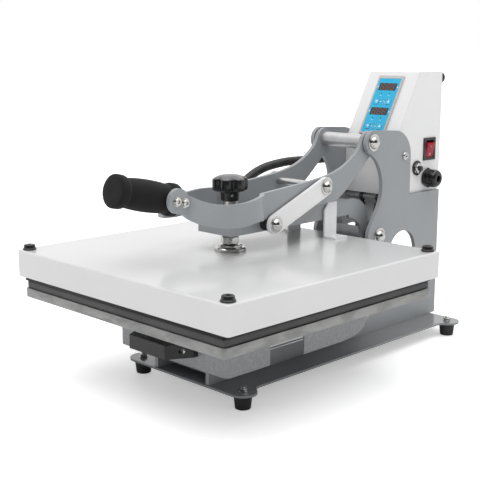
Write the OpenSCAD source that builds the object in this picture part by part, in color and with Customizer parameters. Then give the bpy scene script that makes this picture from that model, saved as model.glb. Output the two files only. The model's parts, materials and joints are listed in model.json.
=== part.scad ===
// Clamshell heat press with a pull-out bed drawer.
// +Z is up, the operator stands at -Y, and the origin is on the floor under the middle of the machine.

/* [Platens] */
// Side length of the square heating platen and bed plate
platen_w = 380; // [320:1:460]
// How far the sheet cover stands out beyond the heating platen at each side
cover_side_lip = 10; // [6:1:16]
// How far the sheet cover stands out beyond the heating platen at front and back
cover_end_lip = 4; // [3:1:10]
// Height of the sheet cover
cover_h = 35; // [32:1:50]
// Sheet thickness of the cover
cover_sheet = 1.5; // [1:0.1:2.5]
// Thickness of the heating platen
heater_t = 14; // [12:1:16]
// How far the heating platen stands out below the cover
heater_show = 5.4; // [3:0.1:8]
// Thickness of the bed plate
bed_plate_t = 12; // [8:1:18]
// Thickness of the silicone pad
pad_t = 9.5; // [6:0.5:14]
// Air gap between the pad and the closed heating platen
press_gap = 0.4; // [0.3:0.1:2]

/* [Base] */
// Height of the rubber feet
foot_h = 19; // [12:1:30]
// Largest radius of the rubber feet
foot_r = 12; // [10:0.5:14]
// Thickness of the base plate
base_t = 3; // [2:0.5:5]
// Distance between the left and right foot bolts
foot_pitch_x = 192; // [170:1:240]
// Radius of the ears that carry the feet
ear_r = 18; // [16:1:24]
// Radius of the foot bolt holes
foot_hole_r = 3.2; // [2.6:0.1:4]

/* [Drawer] */
// Height of the drawer tray
tray_h = 65; // [58:1:80]
// Outside width of the drawer tray
tray_w = 206; // [190:1:240]
// Sheet thickness of the tray
tray_sheet = 2; // [1.2:0.1:3]
// Length of the telescopic slides
rail_l = 300; // [260:1:340]
// Height of the telescopic slides
rail_h = 45; // [36:1:46]

/* [Tower] */
// Clear distance between the two side plates
side_gap = 92; // [84:1:110]
// Thickness of the side plates
side_t = 6; // [4:0.5:8]
// Height of the handle pivot above the arm pivot
pivot_rise = 138; // [130:1:150]
// Diameter of the two tower axles
axle_d = 10; // [8:0.5:12]

/* [Toggle] */
// Thickness of the handle arms
handle_t = 6; // [4:0.5:7]
// Side gap between handle arms and side plates, and between handle arms and links
side_clear = 2; // [1.5:0.5:3]
// Thickness of the link bars
link_t = 5; // [4:0.5:6]
// Width of the link bars
link_w = 26; // [22:1:30]
// Overall width of the lower arm
arm_w = 62; // [56:1:66]
// Plate thickness of the lower arm
arm_t = 5; // [4:0.5:7]

/* [Pressure screw] */
// Diameter of the pressure screw
screw_d = 16; // [12:0.5:18]
// Diameter of the star knob
knob_d = 47; // [40:1:54]

/* [Control box] */
// Height of the control box
box_h = 180; // [160:1:210]
// Depth of the control box at its foot
box_d = 116; // [100:1:130]
// Sheet thickness of the control box
box_sheet = 1.5; // [1:0.1:2.5]
// How far the rear bumpers stand out
bumper_l = 12; // [8:1:16]

/* [Grip] */
// Diameter of the foam grip
grip_d = 40; // [34:1:42]
// Diameter of the end flanges of the foam grip
grip_flange_d = 42; // [36:1:43]
// Length of the foam grip
grip_l = 96; // [90:1:110]
// Tilt of the foam grip above level
grip_tilt = 12.7; // [5:0.1:20]

/* [Hidden] */
$fn = 64;

run_fit = 0.05;
slip = 0.3;

// Heights, from the floor up
base_top = foot_h + base_t;
tray_z = base_top + 25;
tray_top = tray_z + tray_h;
bed_z = tray_top + bed_plate_t;
pad_top = bed_z + pad_t;
heater_z = pad_top + press_gap;
cover_z = heater_z + heater_show;
cover_top = cover_z + cover_h;
arm_under = cover_top + 25;
arm_top = arm_under + 22.5;

// Plan sizes
half_w = platen_w / 2;
cover_w = platen_w + 2 * cover_side_lip;
cover_d = platen_w + 2 * cover_end_lip;
side_in = side_gap / 2;
side_out = side_in + side_t;
handle_out = side_in - side_clear;
handle_in = handle_out - handle_t;
link_in = handle_out + side_clear;
link_out = link_in + link_t;
arm_out = arm_w / 2;
axle_r = axle_d / 2;

// Pivots, as [y, z] from the middle of the bed
p_arm = [half_w + 68, cover_z + 25.6];
p_handle = [half_w + 49, p_arm[1] + pivot_rise];
p_toggle = [38, cover_top + 36];
p_link = [p_handle[0] - 101, p_toggle[1] + 39.5];
screw_y = 4;
screw_r = screw_d / 2;

// Tower and box
tower_y = half_w + 218;
shelf_z = p_arm[1] + 54.4;
box_y0 = half_w + 108;
box_y1 = box_y0 + box_d;
box_top = shelf_z + box_h;
slope_low = [box_y0, shelf_z + 80.6];
slope_top = [box_y0 + 56.5, box_top];
slope_a = atan2(slope_top[1] - slope_low[1], slope_top[0] - slope_low[0]);
bed_y = -(box_y1 + bumper_l - cover_d / 2) / 2;

// Feet
foot_x = foot_pitch_x / 2;
foot_y0 = -half_w + 122;
foot_y1 = half_w + 188;
feet = [for (x = [-foot_x, foot_x], y = [foot_y0, foot_y1]) [x, y]];
base_y0 = foot_y0 - ear_r;

// Telescopic slides
rail_t = 13;
rail_y0 = base_y0 + 2;
rail_z = base_top + 26;
rail_lip = 1.6;

// Moves from the floor frame to the middle of the bed
module at_bed() { translate([0, bed_y, 0]) children(); }
module at(x, y, z) { translate([x, y, z]) children(); }
// A round bar along X, from x0 to x1, through p = [y, z]
module x_bar(x0, x1, p, r) { at(x0, p[0], p[1]) rotate([0, 90, 0]) cylinder(r = r, h = x1 - x0); }
module x_ring(x0, x1, p, r, bore) {
    difference() {
        x_bar(x0, x1, p, r);
        x_bar(x0 - 1, x1 + 1, p, bore);
    }
}
// A plate cut from a [y, z] outline, from x0 to x1
module x_plate(x0, x1) { at(x0, 0, 0) rotate([90, 0, 90]) linear_extrude(x1 - x0) children(); }
module box_at(lo, hi) { translate(lo) cube(hi - lo); }
module both() {
    children();
    mirror([1, 0, 0]) children();
}
// Low domed cap nut on its washer, pointing along +X from x
module acorn(x, p, r) {
    washer_t = 1.5;
    rise = r * 0.62;
    foot = r - 0.3;
    ball = (foot * foot + rise * rise) / (2 * rise);
    x_bar(x, x + washer_t, p, r * 1.28);
    x_bar(x + washer_t, x + washer_t + 1.2, p, r);
    intersection() {
        at(x + washer_t + 1.2 + rise - ball, p[0], p[1]) sphere(r = ball);
        x_bar(x + washer_t + 1.2, x + washer_t + 1.2 + r, p, r + 2);
    }
}
// Points of a smooth curve through p, n steps for each span
function cr(a, b, c, d, t) = 0.5 * (2 * b + (c - a) * t + (2 * a - 5 * b + 4 * c - d) * t * t
    + (3 * b - a - 3 * c + d) * t * t * t);
function smooth(p, n) = concat([for (i = [0:len(p) - 2]) for (k = [0:n - 1])
    cr(p[max(i - 1, 0)], p[i], p[i + 1], p[min(i + 2, len(p) - 1)], k / n)], [p[len(p) - 1]]);
function unit(v) = v / norm(v);
function flip(p) = [for (i = [len(p) - 1:-1:0]) p[i]];

// ---- Base ----
module ear_neck() {
    fillet = 16;
    reach = sqrt(pow(ear_r + fillet, 2) - fillet * fillet);
    difference() {
        polygon([[0, 0], [fillet, reach], [0, reach]]);
        translate([fillet, reach]) circle(r = fillet);
    }
}
module base_plate() {
    color("silver") at_bed() difference() {
        at(0, 0, foot_h) linear_extrude(base_t) union() {
            translate([-foot_x, base_y0]) square([2 * foot_x, foot_y1 + ear_r - base_y0]);
            for (f = feet) translate(f) circle(r = ear_r);
            for (m = [0, 1]) mirror([m, 0]) {
                translate([foot_x, foot_y0]) ear_neck();
                translate([foot_x, foot_y1]) mirror([0, 1]) ear_neck();
            }
        }
        for (f = feet) at(f[0], f[1], foot_h - 1) cylinder(r = foot_hole_r, h = base_t + 2);
    }
}
module rubber_feet() {
    color("black") at_bed() for (f = feet) at(f[0], f[1], 0) rotate_extrude()
        polygon([[foot_hole_r, 6], [7, 6], [7, 0], [foot_r - 3, 0], [foot_r - 2, 1],
            [foot_r, foot_h], [foot_hole_r, foot_h]]);
}
module foot_bolts() {
    color("silver") at_bed() for (f = feet) at(f[0], f[1], 0) {
        at(0, 0, 2) cylinder(r = 5.5, h = 3.9);
        at(0, 0, 5.9) cylinder(r = foot_hole_r - 0.2, h = base_top + 6.5 - 5.9);
        at(0, 0, base_top) difference() {
            cylinder(r = 5.6, h = 4.5, $fn = 6);
            at(0, 0, -1) cylinder(r = foot_hole_r - 0.2, h = 7);
        }
    }
}

// ---- Tower ----
back_y = p_handle[0] + 91;
crown_r = 40;
crown = [back_y - crown_r, p_handle[1] - 26];
bite_r = 57;
bite = [p_handle[0] - 34, p_handle[1] - 66];
box_screw = [p_handle[0] + 76, p_handle[1] - 25];
module side_plate_right() {
    lobe_r = 17;
    low_z = tray_top - 16;
    window = [p_arm[0] + 58, p_arm[1] - 32];
    difference() {
        union() {
            x_plate(side_in, side_out) polygon([[base_y0 + 2, base_top], [base_y0 + 2, low_z],
                [half_w + 15, low_z], [p_arm[0] - 26, p_arm[1] - 7], [p_arm[0] - 22, p_arm[1] + 15],
                [bite[0] + 50.2, bite[1] - 27], [bite[0] + 20, bite[1] - 27],
                [bite[0] + 20, bite[1] + 53], p_handle, p_handle + [1, lobe_r - 0.1],
                crown + [0, crown_r], crown, [back_y, crown[1]], [back_y, shelf_z],
                [tower_y, shelf_z], [tower_y, base_top]]);
            x_bar(side_in, side_out, p_handle, lobe_r);
            x_bar(side_in, side_out, crown, crown_r);
            x_bar(side_in, side_out, p_arm, 27);
        }
        x_bar(side_in - 1, side_out + 1, bite, bite_r);
        for (p = [p_handle, p_arm]) x_bar(side_in - 1, side_out + 1, p, axle_r + run_fit);
        x_bar(side_in - 1, side_out + 1, window, 33);
        x_bar(side_in - 1, side_out + 1, box_screw, 2.2);
        for (q = tie_points) x_bar(side_in - 1, side_out + 1, q, 3);
    }
}
module left_side_plate() { color("darkgray") at_bed() mirror([1, 0, 0]) side_plate_right(); }
module right_side_plate() { color("darkgray") at_bed() side_plate_right(); }

tie_points = [[base_y0 + 22, base_top + 12], [half_w + 40, base_top + 20], [tower_y - 14, base_top + 20]];
spring_top = [box_y0 + 5, shelf_z - 6.3];
module tie_rods() {
    color("silver") at_bed() {
        for (q = tie_points) {
            x_bar(-side_in, side_in, q, 7);
            both() x_bar(side_in, side_out, q, 3);
        }
        x_bar(-side_in, side_in, spring_top, 4);
    }
}
module rear_brace() {
    color("darkgray") at_bed() {
        box_at([-side_in, tower_y - 4, shelf_z - 44], [side_in, tower_y, shelf_z]);
        box_at([-side_in, spring_top[0] + 12, shelf_z - 3], [side_in, tower_y - 4, shelf_z]);
    }
}
module axle_nuts() {
    color("gainsboro") at_bed() both() for (p = [p_handle, p_arm]) acorn(side_out, p, 9.8);
}
module tower_axles() {
    color("silver") at_bed() for (p = [p_handle, p_arm]) x_bar(-side_out, side_out, p, axle_r);
}

// ---- Control box ----
module box_outline(o) {
    polygon([[box_y0 + o, shelf_z + o], [slope_low[0] + o, slope_low[1] - o * 0.3],
        [slope_top[0] + o * 0.6, slope_top[1] - o], [box_y1 + 1, box_top - o], [box_y1 + 1, shelf_z + o]]);
}
switch_p = [box_y1 - 29, shelf_z + 64];
fuse_p = [box_y1 - 60, shelf_z + 37];
gland_p = [box_y1 - 33, shelf_z + 20];
lead_p = [box_y1 - 70, shelf_z + 45];
module control_box() {
    color("white") at_bed() difference() {
        intersection() {
            x_plate(-side_in, side_in) box_outline(0);
            box_at([-side_in, 0, 0], [side_in, box_y1, box_top]);
        }
        x_plate(-side_in + box_sheet, side_in - box_sheet) box_outline(box_sheet);
        on_slope(0) box_at([-18, 14, -10], [18, 98, 3]);
        box_at([side_in - 3, switch_p[0] - 13, switch_p[1] - 14], [side_in + 1, switch_p[0] + 13, switch_p[1] + 14]);
        x_bar(side_in - 3, side_in + 1, fuse_p, 6);
        x_bar(side_in - 3, side_in + 1, gland_p, 10);
        x_bar(-side_in - 1, -side_in + 3, lead_p, 8);
        both() x_bar(side_in - 3, side_in + 1, box_screw, 2.2);
    }
}
module back_panel() {
    color("whitesmoke") at_bed() difference() {
        box_at([-side_in + box_sheet, box_y1 - box_sheet, shelf_z + box_sheet],
            [side_in - box_sheet, box_y1, box_top - box_sheet]);
        for (k = [0:6]) box_at([-22, box_y1 - 3, shelf_z + 60 + 9 * k], [22, box_y1 + 1, shelf_z + 64 + 9 * k]);
        for (q = back_screws) at(q[0], box_y1 + 1, q[1]) rotate([90, 0, 0]) cylinder(r = 1.7, h = 4);
        for (x = bumper_x) at(x, box_y1 + 1, bumper_z) rotate([90, 0, 0]) cylinder(r = 2.2, h = 4);
    }
}
back_screws = [for (x = [-side_in + 8, side_in - 8], z = [shelf_z + 10, box_top - 26]) [x, z]];
bumper_x = [-side_in + 9, side_in - 9];
bumper_z = box_top - 9;
module rear_bumpers() {
    color("black") at_bed() for (x = bumper_x) at(x, box_y1, bumper_z) rotate([-90, 0, 0]) rotate_extrude()
        polygon([[0, 0], [8.5, 0], [8.5, bumper_l - 4], [6.5, bumper_l - 1], [4, bumper_l], [0, bumper_l]]);
}
module case_screws() {
    color("silver") at_bed() {
        for (q = back_screws) at(q[0], box_y1, q[1]) rotate([-90, 0, 0]) {
            cylinder(r = 3.2, h = 2);
            at(0, 0, -6) cylinder(r = 1.5, h = 6);
        }
        both() at(side_out, box_screw[0], box_screw[1]) rotate([0, 90, 0]) {
            cylinder(r = 6.4, h = 3.4);
            at(0, 0, -side_t - 4) cylinder(r = 2, h = side_t + 4);
        }
    }
}

// Puts its children on the sloped front: x across, y up the slope, z out of it
module on_slope(lift) {
    translate([0, slope_low[0], slope_low[1]]) rotate([slope_a, 0, 0]) at(0, 0, lift) children();
}
bezel_w = 46;
bezel_y = [8.5, 106];
bezel_t = 3.4;
label_t = 0.6;
label_w = 40;
label_y = [12, 101];
key_w = 8;
key_h = 9;
key_x = 11;
temp_key_y = 62;
time_key_y = 21;
window_y = [87, 46];
key_slots = [for (y = [temp_key_y, time_key_y], x = [-key_x, key_x]) [x, y]];
module display_bezel() {
    color("whitesmoke") at_bed() on_slope(0) difference() {
        box_at([-bezel_w / 2, bezel_y[0], 0], [bezel_w / 2, bezel_y[1], bezel_t]);
        box_at([-label_w / 2 - slip, label_y[0] - slip, bezel_t - label_t],
            [label_w / 2 + slip, label_y[1] + slip, bezel_t + 1]);
        for (y = window_y) box_at([-16.5, y - 6.5, -1], [16.5, y + 6.5, bezel_t]);
        for (s = key_slots) box_at([s[0] - key_w / 2 - slip, s[1] - key_h / 2 - slip, -1],
            [s[0] + key_w / 2 + slip, s[1] + key_h / 2 + slip, bezel_t + 1]);
    }
}
module display_label() {
    color("deepskyblue") at_bed() on_slope(bezel_t - label_t) difference() {
        box_at([-label_w / 2, label_y[0], 0], [label_w / 2, label_y[1], label_t]);
        for (s = key_slots) box_at([s[0] - key_w / 2 - slip, s[1] - key_h / 2 - slip, -1],
            [s[0] + key_w / 2 + slip, s[1] + key_h / 2 + slip, 2]);
    }
}
module key_at(x, y) {
    color("azure") at_bed() on_slope(bezel_t - 2.4)
        box_at([x - key_w / 2, y - key_h / 2, 0], [x + key_w / 2, y + key_h / 2, 2.9]);
}
module temp_up_key() { key_at(key_x, temp_key_y); }
module temp_down_key() { key_at(-key_x, temp_key_y); }
module time_up_key() { key_at(key_x, time_key_y); }
module time_down_key() { key_at(-key_x, time_key_y); }
module controller_board() {
    color("darkgreen") at_bed() on_slope(0) {
        box_at([-17, 15, -9], [17, 97, -7.4]);
        for (y = window_y) box_at([-15, y - 6, -7.4], [15, y + 6, -1]);
        box_at([-12, 26, -22], [12, 52, -9]);
    }
}
module switch_bezel() {
    color("black") at_bed() difference() {
        union() {
            box_at([side_in, switch_p[0] - 15, switch_p[1] - 17], [side_in + 2, switch_p[0] + 15, switch_p[1] + 17]);
            box_at([side_in - 20, switch_p[0] - 12.7, switch_p[1] - 13.7],
                [side_in, switch_p[0] + 12.7, switch_p[1] + 13.7]);
        }
        box_at([side_in - 9, switch_p[0] - 10, switch_p[1] - 13.2], [side_in + 3, switch_p[0] + 10, switch_p[1] + 13.2]);
        rocker_pin(11.2, 1.5 + run_fit);
    }
}
rocker_axis = [side_in - 2, switch_p[1]];
module rocker_pin(half, r) {
    at(rocker_axis[0], switch_p[0], rocker_axis[1]) rotate([90, 0, 0]) cylinder(r = r, h = 2 * half, center = true);
}
module rocker() {
    color("red") at_bed() {
        translate([rocker_axis[0], switch_p[0], rocker_axis[1]]) rotate([0, 10, 0])
            rotate([-90, 0, 0]) at(0, 0, -9.6) linear_extrude(19.2)
            polygon([[5.6, -11.8], [5, 0], [6.6, 12.2], [-3.2, 10.2], [-4.2, 0], [-3.2, -10.2]]);
        rocker_pin(11, 1.5);
    }
}
module fuse_holder() {
    color("dimgray") at_bed() {
        x_bar(side_in - 26, side_in, fuse_p, 5.7);
        x_bar(side_in, side_in + 2.5, fuse_p, 11.2);
        x_bar(side_in + 2.5, side_in + 6, fuse_p, 7.6);
        x_bar(side_in + 6, side_in + 13, fuse_p, 4.8);
    }
}
module mains_gland() {
    color("black") at_bed() difference() {
        union() {
            x_bar(side_in - 12, side_in, gland_p, 9.8);
            at(side_in, gland_p[0], gland_p[1]) rotate([0, 90, 0]) cylinder(r = 15.5, h = 6, $fn = 6);
            x_bar(side_in + 6, side_in + 17, gland_p, 13.8);
            at(side_in + 17, gland_p[0], gland_p[1]) rotate([0, 90, 0]) cylinder(r1 = 13.8, r2 = 10, h = 6);
        }
        x_bar(side_in - 13, side_in + 27, gland_p, 5);
    }
}

// ---- Lower arm ----
arm_y0 = -24;
web_y0 = 30;
web_y1 = half_w + 22;
web_t = 4;
turn = [half_w + 32, arm_top - 34.5];
spring_low = [p_arm[0] + 32, p_arm[1] - 15];
pin_r = 3;
module arm_side() {
    x0 = arm_out - arm_t;
    inner = [half_w + 20, arm_under - 38];
    difference() {
        union() {
            x_plate(x0, arm_out) polygon([[arm_y0, arm_under], [arm_y0, arm_top], [turn[0], arm_top],
                turn, turn + [34.5, 0], p_arm + [14.5, 3], p_arm + [-14, 0], turn + [-17, -12],
                turn + [-17, 12]]);
            x_bar(x0, arm_out, turn, 34.5);
            x_bar(x0, arm_out, p_arm, 15);
            x_plate(x0, arm_out) polygon([p_arm + [4, 14], spring_low + [4, 8.2],
                spring_low + [-4, -8.2], p_arm + [-6, -13.6]]);
            x_bar(x0, arm_out, spring_low, 9);
        }
        x_plate(x0 - 1, arm_out + 1) polygon([[turn[0] - 45, arm_under], turn + [-9, 12.5], turn + [-9, -30],
            [turn[0] - 45, turn[1] - 40]]);
        x_plate(x0 - 1, arm_out + 1) polygon([turn + [-10, -40], turn + [-10, -10], p_arm + [-18, 4],
            p_arm + [-16, -40]]);
        x_bar(x0 - 1, arm_out + 1, inner, 34);
        for (p = [p_arm, p_toggle]) x_bar(x0 - 1, arm_out + 1, p, axle_r + run_fit);
    }
}
module arm_side_plates() { color("darkgray") at_bed() both() arm_side(); }
module arm_top_plate() {
    inside = arm_out - arm_t;
    color("darkgray") at_bed() {
        box_at([-inside, web_y0, arm_top - web_t], [inside, web_y1, arm_top]);
        x_ring(-inside, inside, p_arm, 10, axle_r + run_fit);
        x_bar(-inside, inside, spring_low, pin_r);
    }
}
module screw_block() {
    inside = arm_out - arm_t;
    color("darkgray") at_bed() difference() {
        union() {
            box_at([-inside, arm_y0, arm_under], [inside, web_y0, arm_top]);
            at(0, screw_y, arm_top) cylinder(r = 13, h = 6);
        }
        at(0, screw_y, arm_under - 1) cylinder(r = screw_r + run_fit, h = 40);
    }
}
bush_r = 12;
module arm_bushes() {
    color("black") at_bed() both() {
        x_ring(arm_out, side_in - slip, p_arm, 10, axle_r + run_fit);
        x_ring(arm_out, link_in - 2.5, p_toggle, bush_r - 2, axle_r);
        x_ring(link_in - 2.5, link_in - slip, p_toggle, bush_r, axle_r);
    }
}
module toggle_axle() { color("silver") at_bed() x_bar(-link_in + slip, link_in - slip, p_toggle, axle_r); }

// ---- Upper platen ----
module rounded_slab(w, d, z0, z1, r) {
    at(0, 0, z0) linear_extrude(z1 - z0) union() {
        square([w - 2 * r, d], center = true);
        square([w, d - 2 * r], center = true);
        for (x = [-1, 1], y = [-1, 1]) translate([x * (w / 2 - r), y * (d / 2 - r)]) circle(r = r);
    }
}
cap_spots = [for (x = [-1, 1], y = [-1, 1]) [x * (half_w - 2), y * (half_w - 8)]];
heater_top = heater_z + heater_t;
gland_xy = [-76, half_w - 112];
bracket_y = [half_w - 36, half_w - 10];
bracket_x = arm_out + 1.5;
module upper_cover() {
    color("white") at_bed() difference() {
        rounded_slab(cover_w, cover_d, cover_z, cover_top, 6);
        rounded_slab(cover_w - 2 * cover_sheet, cover_d - 2 * cover_sheet, cover_z - 1, cover_top - cover_sheet, 4.5);
        for (c = cap_spots) at(c[0], c[1], cover_top - 5) cylinder(r = 3, h = 10);
        at(0, screw_y, cover_top - 5) cylinder(r = 17, h = 10);
        at(gland_xy[0], gland_xy[1], cover_top - 5) cylinder(r = 7, h = 10);
    }
}
module heating_platen() {
    post_r = 6;
    color("silver") at_bed() {
        difference() {
            rounded_slab(platen_w, platen_w, heater_z, heater_top, 3);
            for (k = [-5:5]) box_at([30 * k - 4, -half_w + 30, heater_top - 5], [30 * k + 4, half_w - 30, heater_top + 1]);
        }
        for (c = cap_spots) at(c[0] - sign(c[0]) * 10, c[1] - sign(c[1]) * 6, heater_top)
            cylinder(r = post_r, h = cover_top - cover_sheet - heater_top);
        at(0, screw_y, heater_top) cylinder(r = 24, h = cover_top - cover_sheet - heater_top);
    }
}
module heating_element() {
    y0 = -half_w + 36;
    y1 = half_w - 36;
    color("firebrick") at_bed() {
        for (k = [-5:5]) box_at([30 * k - 3, y0, heater_top - 4.7], [30 * k + 3, y1, heater_top - 0.2]);
    }
}
module insulation_blanket() {
    color("khaki") at_bed() difference() {
        box_at([-half_w + 26, -half_w + 26, heater_top + 0.2], [half_w - 26, half_w - 26, cover_top - cover_sheet - 1]);
        at(0, screw_y, heater_top - 1) cylinder(r = 25, h = 60);
        at(gland_xy[0], gland_xy[1], heater_top - 1) cylinder(r = 9, h = 60);
    }
}
module cover_caps() {
    color("black") at_bed() for (c = cap_spots) at(c[0], c[1], cover_top) {
        rotate_extrude() polygon([[0, 0], [8.8, 0], [8.8, 2], [7.9, 2.6], [7.6, 6.2], [6.6, 7.2], [0, 7.2]]);
        at(0, 0, -8) cylinder(r = 2.8, h = 8);
    }
}
module guide_brackets() {
    t = 2.5;
    color("white") at_bed() both() difference() {
        union() {
            box_at([bracket_x, bracket_y[0], cover_top], [bracket_x + 22, bracket_y[1], cover_top + t]);
            box_at([bracket_x, bracket_y[0], cover_top], [bracket_x + t, bracket_y[1], arm_top + 1.5]);
        }
        x_plate(bracket_x - 1, bracket_x + t + 1) polygon([[bracket_y[0] - 1, arm_top - 10],
            [bracket_y[0] - 1, arm_top + 3], [bracket_y[0] + 12, arm_top + 3]]);
        at(bracket_x + 13, (bracket_y[0] + bracket_y[1]) / 2, cover_top - 1) cylinder(r = 2.2, h = t + 2);
    }
}
collar_t = 4.8;
hex_t = 3.6;
module thrust_collar() {
    color("silver") at_bed() at(0, screw_y, 0) difference() {
        union() {
            at(0, 0, cover_top - cover_sheet) cylinder(r = 16.5, h = cover_sheet);
            at(0, 0, cover_top) cylinder(r = 21, h = collar_t);
            at(0, 0, cover_top + collar_t) cylinder(r = 17.5, h = hex_t, $fn = 6);
        }
        at(0, 0, cover_top + 0.5) cylinder(r = screw_r + run_fit, h = 30);
    }
}
gland_h = 17;
module platen_gland() {
    color("black") at_bed() at(gland_xy[0], gland_xy[1], cover_top) union() {
        cylinder(r = 10, h = 8);
        cylinder(r = 8.6, h = gland_h);
        at(0, 0, -7) cylinder(r = 6.8, h = 7);
    }
}

// ---- Pressure screw ----
knob_z = arm_top + 35.5;
module pressure_screw() {
    color("gainsboro") at_bed() at(0, screw_y, 0) {
        at(0, 0, cover_top + 1) cylinder(r = screw_r, h = knob_z + 6 - cover_top - 1);
        difference() {
            at(0, 0, arm_top + 12.5) cylinder(r = screw_r + 1.5, h = knob_z - 17 - arm_top - 12.5);
            at(0, 0, arm_top) cylinder(r = screw_r, h = 40);
        }
    }
}
module pressure_knob() {
    lobes = 6;
    core_r = knob_d / 2 - 5;
    color("black") at_bed() at(0, screw_y, 0) difference() {
        union() {
            at(0, 0, knob_z - 17) cylinder(r = 12.4, h = 13.5);
            at(0, 0, knob_z - 4) linear_extrude(16) union() {
                circle(r = core_r);
                for (k = [0:lobes - 1]) rotate(360 / lobes * k) translate([core_r - 2, 0]) circle(r = 7);
            }
            intersection() {
                at(0, 0, knob_z + 12) cylinder(r = core_r, h = 8);
                at(0, 0, knob_z - 35) sphere(r = 53, $fn = 96);
            }
        }
        at(0, 0, knob_z - 18) cylinder(r = screw_r, h = 24);
    }
}
module lock_nut() {
    z0 = cover_top + collar_t + hex_t + 0.6;
    color("gainsboro") at_bed() at(0, screw_y, 0) difference() {
        union() {
            at(0, 0, z0) cylinder(r = 12.4, h = 9.5, $fn = 6);
            at(0, 0, z0 + 4.7) rotate([90, 0, 15]) cylinder(r = 2.4, h = 13.5);
        }
        at(0, 0, z0 - 1) cylinder(r = screw_r, h = 20);
    }
}

// ---- Handle ----
grip_eye = [-108, arm_top + 32.5];
ring_half = 59;
plan_line = concat([[(handle_in + handle_out) / 2, p_handle[0] + 22], [(handle_in + handle_out) / 2, 24]],
    smooth([[handle_out - 2, 20], [ring_half - 7, 9], [ring_half - 1.5, -6], [ring_half, -30],
        [ring_half - 2.5, -53], [ring_half - 10, -71], [ring_half - 22, -83.5], [27.4, -90], [25, -93.4]], 4),
    [[25, -94.8], [25, -130]]);
function side_normal(p, i) = let (t = unit(p[min(i + 1, len(p) - 1)] - p[max(i - 1, 0)])) [-t[1], t[0]];
function strip(p, h) = concat([for (i = [0:len(p) - 1]) p[i] + side_normal(p, i) * h],
    [for (i = [len(p) - 1:-1:0]) p[i] - side_normal(p, i) * h]);
module handle_outline() {
    top = smooth([p_handle + [-14, 9], p_handle + [-26, -11], p_handle + [-54, -29], p_link + [15, 14.5],
        p_link + [-28, 9], [24, arm_top + 30.2], [0, arm_top + 28.5], [-30, arm_top + 25],
        [-60, arm_top + 26], [-80, arm_top + 30.5], [-94, arm_top + 39], [-104, arm_top + 47.5]], 4);
    low = smooth([[-104, arm_top + 17.5], [-90, arm_top + 7], [-74, arm_top - 1], [-40, arm_top - 5],
        [0, arm_top - 2], [24, arm_top - 4], [60, arm_top + 1.5], p_link + [-28, -22.5],
        p_link + [12, -24], p_link + [37, -19], p_link + [66, 2], p_handle + [2, -20],
        p_handle + [14, -9]], 4);
    difference() {
        union() {
            polygon(concat(top, low));
            translate(p_handle) circle(r = 16);
            translate(grip_eye) circle(r = 15.5);
        }
        translate(p_toggle) circle(r = bush_r + 1.5);
    }
}
module handle_side() {
    difference() {
        intersection() {
            at(0, 0, arm_under) linear_extrude(p_handle[1] + 30 - arm_under) polygon(strip(plan_line, handle_t / 2));
            x_plate(1, ring_half + 20) handle_outline();
        }
        x_bar(handle_in - 2, handle_out + 2, p_handle, axle_r + run_fit);
        x_bar(handle_in - 2, handle_out + 2, p_link, axle_r);
        for (q = grip_holes) x_bar(10, 40, q, 3);
    }
}
grip_dir = [-cos(grip_tilt), sin(grip_tilt)];
grip_holes = [grip_eye + [9, -3], grip_eye + [-4, 0]];
grip_start = grip_eye + [15, -3.4];
module along_grip() {
    translate([0, grip_start[0], grip_start[1]]) rotate([90 - grip_tilt, 0, 0]) children();
}
module left_handle_arm() { color("darkgray") at_bed() mirror([1, 0, 0]) handle_side(); }
module right_handle_arm() { color("darkgray") at_bed() handle_side(); }
module spacer_tube() { color("lightgray") at_bed() x_ring(-handle_in, handle_in, p_handle, 10.5, axle_r + run_fit); }
module link_axle() { color("silver") at_bed() x_bar(-link_out - slip, link_out + slip, p_link, axle_r); }
module link_axle_nuts() { color("gainsboro") at_bed() both() acorn(link_out + slip, p_link, 8.5); }
core_r = 9;
module grip_core() {
    color("silver") at_bed() difference() {
        along_grip() cylinder(r = core_r, h = grip_l - 8);
        for (q = grip_holes) x_bar(-30, 30, q, 3);
    }
}
module foam_grip() {
    r0 = grip_flange_d / 2;
    r1 = grip_d / 2;
    body = smooth([[r1 - 2.6, 14.5], [r1 - 0.8, 27], [r1, grip_l / 2], [r1 - 1, grip_l - 30], [r1 - 3.2, grip_l - 17]], 3);
    color("black") at_bed() difference() {
        along_grip() rotate_extrude() polygon(concat([[core_r, 0], [r0 - 1.5, 0], [r0 - 0.2, 2], [r0 - 0.2, 10]],
            body, [[r0 - 0.4, grip_l - 12], [r0 - 0.4, grip_l - 3], [r0 - 3, grip_l - 0.5], [r0 - 7, grip_l],
                [0, grip_l], [0, grip_l - 8], [core_r, grip_l - 8]]));
        for (q = grip_holes) x_bar(-30, 30, q, 3);
    }
}
module grip_bolts() {
    color("gainsboro") at_bed() for (q = grip_holes) {
        x_bar(-28, 28, q, 3);
        both() x_bar(28, 32, q, 6);
    }
}
module link_bars() {
    color("white") at_bed() both() difference() {
        x_plate(link_in, link_out) hull() {
            translate(p_link) circle(r = link_w / 2, $fn = 32);
            translate(p_toggle) circle(r = link_w / 2, $fn = 32);
        }
        for (p = [p_link, p_toggle]) x_bar(link_in - 1, link_out + 1, p, axle_r + run_fit);
    }
}
module link_stubs() {
    color("gainsboro") at_bed() both() {
        acorn(link_out, p_toggle, 8.5);
        x_bar(link_in, link_out, p_toggle, axle_r);
    }
}

// ---- Gas struts and cable ----
strut_l = norm(spring_top - spring_low);
strut_a = atan2(spring_top[0] - spring_low[0], spring_top[1] - spring_low[1]);
strut_x = 15;
eye_play = 1.3;
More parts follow.
